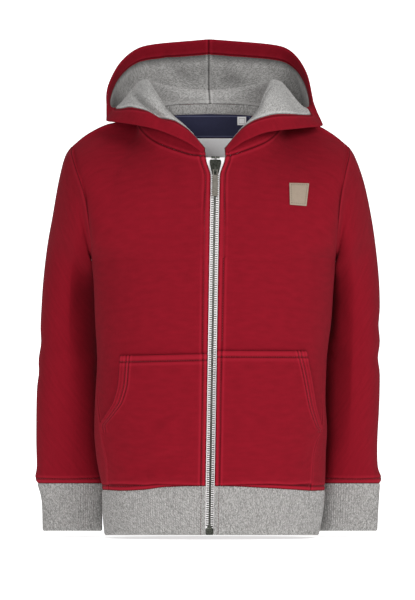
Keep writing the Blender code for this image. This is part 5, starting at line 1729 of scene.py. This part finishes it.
tooth_top, tooth_bottom = SLIDER_TOP - SLIDER_LENGTH + TEETH_IN_SLIDER, HEM_BOTTOM + BOX_HEIGHT + TEETH_OVER_BOX
heights = np.linspace(tooth_bottom, tooth_top, 300)
path, outward = zip_middle(heights)
path_length = lengths_along(path)
tooth_count = int((path_length[-1] - TOOTH_PITCH) / TOOTH_PITCH)
rows = []
for offset, turned in ((0, False), (TOOTH_PITCH / 2, True)):
    at = offset + TOOTH_PITCH * np.arange(0, tooth_count + 0.01, 0.5)
    line, out = between(at, path_length, path), between(at, path_length, outward)
    rows.append((line[::-1], out[::-1]) if turned else (line, out))
tooth = add_object("one_tooth", plain_mesh("one_tooth", *thick_outline(TOOTH, TOOTH_DEPTH)))
teeth = grown(lines_object("zip_teeth", rows), row_tree(), Part=tooth, Pitch=TOOTH_PITCH * MM, Material=TOOTH_METAL,
              Seed=3)
bpy.data.objects.remove(tooth)
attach(teeth, "garment")
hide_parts("zip_chain")


def zip_part(name, shapes, material):
    """Small cast parts in one mesh: for each, its half outline, depth and height, and which side it is on."""
    vertices, faces = [], []
    for half_outline, depth, height, side, forward in shapes:
        shape, shape_faces = thick_outline(half_outline, depth)
        middle, out = (value[0] for value in zip_middle(np.array([float(height)])))
        up = np.cross(out, (1, 0, 0))
        up *= 1 if up[2] > 0 else -1
        placed = middle + shape[:, :1] * side * np.array([1, 0, 0]) + shape[:, 1:2] * up
        placed += (shape[:, 2:] + forward) * out
        faces += [tuple(len(vertices) + i for i in face) for face in shape_faces]
        vertices += placed.tolist()
    return finished(name, plain_mesh(name, vertices, faces), material, CAST_SHARP)


stops = zip_part("zip_stops", [(STOP, STOP_DEPTH, TAPE_TOP, sign, STOP_FORWARD) for sign in (-1, 1)], GUNMETAL)
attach(stops, "garment")
foot = zip_part("zip_bottom_box", [(BOX, BOX_DEPTH, BOX_MIDDLE, 1, 0), (PIN, PIN_DEPTH, PIN_MIDDLE, 1, 0)], GUNMETAL)
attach(foot, "garment")
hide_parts("zip_box")

for name, material in (("zip_slider", GUNMETAL), ("zip_pull", TAB_METAL)):
    cast = bpy.data.objects[name]
    cast.data.materials.clear()
    cast.data.materials.append(material)
    soft = cast.modifiers.new("soft_edges", "BEVEL")
    soft.width = CAST_EDGE * MM
    soft.segments = 3
    soft.limit_method = "ANGLE"
    soft.angle_limit = math.radians(CAST_ANGLE)


# ------------------------------------------------------------ Neck tape, labels and chest patch
# A jersey tape covers the neck seam inside. A navy woven label hangs below it over a white care
# label, with a small size tag on it, and a woven patch is sewn on the wearer's left chest.

TAPE_HEIGHT = 11.7
TAPE_DROP = 0.3  # from the neckline down to the neck tape
NECK_TAPE_SPAN = (-62.0, 60.0)
NECK_LABEL = (-43.0, 50.0, -21.5)  # left, right and bottom
LABEL_GAP = 0.25  # from the neck tape down to the neck label
CARE_LABEL = (-27.0, 38.0, -52.0, -22.0)  # left, right, bottom and top
SIZE_TAG = (33.0, 43.5, -6.0, 4.0)
PATCH_CORNERS = ((95.7, -101.8), (115.4, -103.4), (118.6, -76.6), (95.0, -76.0))
LABEL = 1.0  # thickness of the tape and the labels
TAG = 0.7
PATCH = 1.1
PATCH_STITCH = 2.3
LABEL_ROLL = (0.25, 0.7)
LABEL_SHARP = 60
NECK_RISE = 6  # how far the search surface goes on above the neckline
NECK_LABEL_BOW = 0.2
CARE_LABEL_BOW = 1.2
CARE_LABEL_WAVES = (0.4, 5.2)
TAPE_STITCH = 1.5
LABEL_STITCH = 1.2

NAVY = woven("navy_label", (0.020, 0.021, 0.060, 1), (0.008, 0.009, 0.028, 1), 0.00045, roughness=0.6,
             frame_line=(0.11, 0.12, 0.20, 1), size=(0.093, 0.0285), inset=0.0022, line=0.0006)
WHITE_LABEL = woven("white_label", (0.93, 0.93, 0.93, 1), (0.80, 0.80, 0.80, 1), 0.0004, slope=2.0, roughness=0.6)
SIZE_WHITE = woven("size_tag", (0.93, 0.93, 0.93, 1), (0.80, 0.80, 0.80, 1), 0.0004, roughness=0.6,
                   frame_line=(0.30, 0.29, 0.28, 1), size=(0.0105, 0.010), inset=0.0018, line=0.0004)
BEIGE = woven("pale_patch", (0.32, 0.255, 0.195, 1), (0.185, 0.145, 0.11, 1), 0.0006, roughness=0.75)


def rectangle(left, right, bottom, top, rows, columns):
    """Spots of a rectangle seen from the front, from its lower left corner."""
    across, up = np.meshgrid(np.linspace(left, right, columns), np.linspace(bottom, top, rows))
    return np.stack([across, up], axis=-1)


def label(name, spots, under, gap, thickness, material, nodes, slot, rests_on, start=0, bow=0):
    """A thin piece laid on the sheet under it, with its edges folded in a little."""
    base, away = lay(under, spots, start, 1)
    away = evened(away, 4)
    grid = base + away * np.broadcast_to(gap + thickness + bow, spots.shape[:2])[:, :, None]
    if start == 0:
        grid, away = grid[:, ::-1], away[:, ::-1]
    outer = turn_in(grid, away, EDGES, *LABEL_ROLL)
    piece = cloth(name, outer, grid - away * thickness, material, sharp=LABEL_SHARP)
    dress(piece, grid, nodes)
    return outer, away


inside = (back_sheet[0] - back_sheet[1] * CLOTH)[:-4, ::2]
rise = inside[-1] - inside[-2]
above = inside[-1] + NECK_RISE * rise / np.linalg.norm(rise, axis=1)[:, None]
inside_back = search_tree(np.concatenate([inside, above[None]]))
neck_top = {name: NECK_BACK[name][::-1] for name in (RIGHT, LEFT, "height")}
across = np.linspace(*NECK_TAPE_SPAN, 62)
top = np.array([along(neck_top, LEFT if x > 0 else RIGHT, "height", abs(x)) for x in across]) - TAPE_DROP
shares = np.array([0, 0.03, 0.08, 0.16, 0.3, 0.5, 0.7, 0.84, 0.92, 0.97, 1])[:, None]  # closer at the tape's edges
spots = np.stack(np.broadcast_arrays(across, top - (1 - shares) * TAPE_HEIGHT), axis=-1)
neck_tape_sheet = label("neck_tape_cloth", spots, inside_back, SEAM_GAP, LABEL, GREY_JERSEY, ["neck_tape"],
                        "grey_jersey", ["back"])
tape_low = top - TAPE_HEIGHT
left, right, bottom = NECK_LABEL
spots = rectangle(left, right, 0, 1, 24, 60)
spots[..., 1] = bottom + spots[..., 1] * (np.interp(spots[..., 0], across, tape_low) - LABEL_GAP - bottom)
bow = np.broadcast_to(NECK_LABEL_BOW * np.sin(np.linspace(0, math.pi, 24))[:, None] ** 2, spots.shape[:2])
neck_label_sheet = label("neck_label_cloth", spots, inside_back, SEAM_GAP, LABEL, NAVY, ["neck_label"], "navy_label",
                         ["back"], bow=bow)
spots = rectangle(*CARE_LABEL, 30, 50)
hang = np.linspace(1, 0, 30)[:, None] * (0.5 + 0.5 * np.sin(np.linspace(*CARE_LABEL_WAVES, 50)))[None, :]
label("care_label_cloth", spots, inside_back, SEAM_GAP, LABEL, WHITE_LABEL, ["care_label"], "white_label", ["back"],
      bow=hang * CARE_LABEL_BOW)
label("size_tag_cloth", rectangle(*SIZE_TAG, 12, 12), search_tree(neck_label_sheet[0]), SEAM_GAP, TAG, SIZE_WHITE,
      ["size_tag"], "white_label", ["neck_label"])

low_left, low_right, high_right, high_left = (np.array(corner) for corner in PATCH_CORNERS)
share = np.linspace(0, 1, 26)
low, high = (a + share[:, None] * (b - a) for a, b in ((low_left, low_right), (high_left, high_right)))
spots = low[None] + np.linspace(0, 1, 30)[:, None, None] * (high - low)[None]
patch_sheet = label("chest_patch_cloth", spots, search_tree(front_sheets[LEFT][0]), 2 * SEAM_GAP, PATCH, BEIGE,
                    ["chest_patch"], "pale_patch", ["front_left"], start=IN_FRONT)


# ------------------------------------------------------------ Stitching
# Twisted sewing thread: single rows along the hem seam, the cuffs, the hood's facing, the zip, the
# pockets and the labels, double rows along the pocket openings, and a row round the chest patch.

STITCH_PITCH = 3.0
STITCH = (2.3, 0.62, 0.5)  # length, width and height
STITCH_LIFT = 0.12
UNEVENNESS = 0.06
RIB_LIFT = 0.5
PATCH_PITCH = 2.5
PATCH_THREAD = (1.6, 0.5, 0.4)
LABEL_PITCH = 2.4
LABEL_THREAD = (1.8, 0.45, 0.35)


def thread_group():
    """Twisted thread: a tone that changes a little from stitch to stitch, and painted shade over its fibres, darker
    in the twist's grooves where its height is low.
    """
    tree, start, end = node_group(
        "twisted_thread", "ShaderNodeTree",
        {"Place": (VECTOR, None), "Thread": (COLOUR, (0.3, 0.01, 0.02, 1)), "Shaded": (COLOUR, (0.1, 0.0, 0.01, 1)),
         "Fibre": (FLOAT, 2500.0)},
        {"Color": COLOUR, "Height": FLOAT})
    fibre = node(tree, "ShaderNodeTexWave", {"Vector": start.outputs["Place"], "Distortion": 2.0,
                                             "Scale": start.outputs["Fibre"]}, bands_direction="DIAGONAL")
    slow = node(tree, "ShaderNodeTexNoise", {"Vector": start.outputs["Place"], "Scale": 380.0, "Detail": 2.0})
    # painted shade in the twist's grooves, and a slow tone that varies at random
    amount = math_node(tree, "MULTIPLY_ADD", fibre.outputs["Fac"], 0.45,
                       math_node(tree, "MULTIPLY", slow.outputs["Fac"], 0.7))
    tree.links.new(mixed(tree, amount, start.outputs["Shaded"], start.outputs["Thread"]), end.inputs["Color"])
    tree.links.new(fibre.outputs["Fac"], end.inputs["Height"])
    return tree


twisted_thread = thread_group()


def thread(name, colour, shaded):
    made, tree, shader = new_material(name, 0.7, Specular_IOR_Level=0.3, Sheen_Weight=0.08)
    place = tree.nodes.new("ShaderNodeTexCoord")
    twist = group_node(tree, twisted_thread, {"Place": place.outputs["Object"], "Thread": colour, "Shaded": shaded})
    tree.links.new(twist.outputs["Color"], shader.inputs["Base Color"])
    add_bumps(tree, shader, (0.4, 0.0001, twist.outputs["Height"]))
    return made


RED_THREAD = thread("red_thread", (0.17, 0.005, 0.013, 1), (0.07, 0.002, 0.006, 1))
WINE_THREAD = thread("wine_thread", (0.10, 0.018, 0.022, 1), (0.05, 0.008, 0.010, 1))
GREY_THREAD = thread("grey_thread", (0.30, 0.29, 0.28, 1), (0.16, 0.15, 0.15, 1))
BROWN_THREAD = thread("brown_thread", (0.10, 0.055, 0.035, 1), (0.04, 0.022, 0.014, 1))
NAVY_THREAD = thread("navy_thread", (0.05, 0.055, 0.12, 1), (0.02, 0.022, 0.05, 1))


def stitch_tree():
    """Lays stitches end to end along lines, each turned to the line and to the cloth under it."""
    tree, start, end = node_group(
        "rows_of_stitches", "GeometryNodeTree",
        {"Lines": (GEOMETRY, None), "Pitch": (FLOAT, 0.003), "Length": (FLOAT, 0.0023),
         "Width": (FLOAT, 0.0006), "Height": (FLOAT, 0.0005), "Unevenness": (FLOAT, 0.08),
         "Material": (MATERIAL, None), "Seed": ("NodeSocketInt", 1)},
        {"Geometry": GEOMETRY})
    points, tangent, out = even_places(tree, start)
    swing = node(tree, "FunctionNodeRandomValue", {"Seed": start.outputs["Seed"]}, data_type="FLOAT_VECTOR")
    swing.inputs[0].default_value, swing.inputs[1].default_value = (-1, -1, -1), (1, 1, 1)
    slight = node(tree, "ShaderNodeVectorMath", {0: swing.outputs[0]}, operation="SCALE")
    tree.links.new(start.outputs["Unevenness"], slight.inputs["Scale"])
    swung = node(tree, "ShaderNodeVectorMath", {0: tangent, 1: slight.outputs[0]}, operation="ADD")
    turn = node(tree, "FunctionNodeAxesToRotation", {0: swung.outputs[0], 1: out},
                primary_axis="X", secondary_axis="Z")
    bead = node(tree, "GeometryNodeMeshUVSphere", {"Segments": 8, "Rings": 5, "Radius": 0.5})
    size = node(tree, "ShaderNodeCombineXYZ", {0: start.outputs["Length"], 1: start.outputs["Width"],
                                               2: start.outputs["Height"]})
    many = node(tree, "GeometryNodeInstanceOnPoints", {"Points": points, "Instance": bead.outputs[0],
                                                       "Rotation": turn.outputs[0], "Scale": size.outputs[0]})
    return end_tree(tree, start, end, many.outputs[0], smooth_shade=True)


rows_of_stitches = stitch_tree()


def beside(sheet, edge, distance, start=0.0, end=1.0, lift=STITCH_LIFT):
    """The line on a sheet that keeps a distance from an edge, between two shares of its length."""
    grid, normals = sheet
    measure = from_edge(grid, edge)
    if edge.endswith("column"):
        grid, normals, measure = (part.swapaxes(0, 1) for part in (grid, normals, measure))
    if edge.startswith("last"):
        grid, normals, measure = grid[::-1], normals[::-1], measure[::-1]
    line, out = [], []
    for column in range(grid.shape[1]):
        after = int(np.clip(np.searchsorted(measure[:, column], distance), 1, len(measure) - 1))
        low, high = measure[after - 1, column], measure[after, column]
        share = np.clip((distance - low) / max(high - low, 1e-9), 0, 1)
        line.append(grid[after - 1, column] * (1 - share) + grid[after, column] * share)
        out.append(normals[after - 1, column] * (1 - share) + normals[after, column] * share)
    line, out = np.array(line), np.array(out)
    walk = lengths_along(line)
    kept = (walk >= start * walk[-1]) & (walk <= end * walk[-1])
    line, out = line[kept], out[kept]
    return line + out * lift, out


def stitching(name, lines, material, seed, size=STITCH, pitch=STITCH_PITCH):
    """One piece of thread: rows of stitches along lines."""
    length, width, height = (value * MM for value in size)
    piece = grown(lines_object(name, lines), rows_of_stitches, Pitch=pitch * MM, Length=length, Width=width,
                  Height=height, Unevenness=UNEVENNESS, Material=material, Seed=seed)
    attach(piece, "garment")


pocket_top = (BAND_SEAM - POCKET_TOP[LEFT][1]) / (BAND_SEAM - ZIP_TOP) + 0.01  # as a share of the zip edge
lines = [beside(sheet, "first_row", HEM_STITCH, 0.01, 0.99) for sheet in (*front_sheets.values(), back_sheet)]
lines += [beside(sheet, "first_column", ZIP_STITCH, pocket_top, 0.985) for sheet in front_sheets.values()]
for sheet in sleeve_sheets.values():
    line, out = beside(sheet, "last_row", SLEEVE_STITCH)
    lines.append((np.vstack([line, line[:1]]), np.vstack([out, out[:1]])))
lines += [beside(sheet, "last_column", FACING_WIDTH, 0.01, 0.995) for sheet in hood_sheets.values()]
stitching("body_stitching", lines, RED_THREAD, 11)

lines = []
for sheet in pocket_sheets.values():
    lines.append(beside(sheet, "first_row", TOP_STITCH, 0.01, 0.97))
    lines.append(beside(sheet, "first_column", POCKET_ZIP_STITCH, 0.01, 0.985))
    lines += [beside(sheet, "last_column", distance, 0.02, 0.6) for distance in OPENING_STITCHES]
stitching("pocket_stitching", lines, RED_THREAD, 12)

BAND_STITCH = 5.4
lines = [beside((band, band_normals), edge, BAND_STITCH, 0.02, 0.98, RIB_LIFT) for edge in EDGES[2:]]
stitching("band_stitching", lines, WINE_THREAD, 13)

lines = [beside(patch_sheet, edge, PATCH_STITCH, 0.1, 0.9) for edge in EDGES]
stitching("patch_stitching", lines, BROWN_THREAD, 14, PATCH_THREAD, PATCH_PITCH)

stitching("neck_tape_stitching", [beside(neck_tape_sheet, "first_row", TAPE_STITCH)], GREY_THREAD, 15)
lines = [beside(neck_label_sheet, edge, LABEL_STITCH, 0.01, 0.99) for edge in EDGES]
stitching("neck_label_stitching", lines, NAVY_THREAD, 16, LABEL_THREAD, LABEL_PITCH)
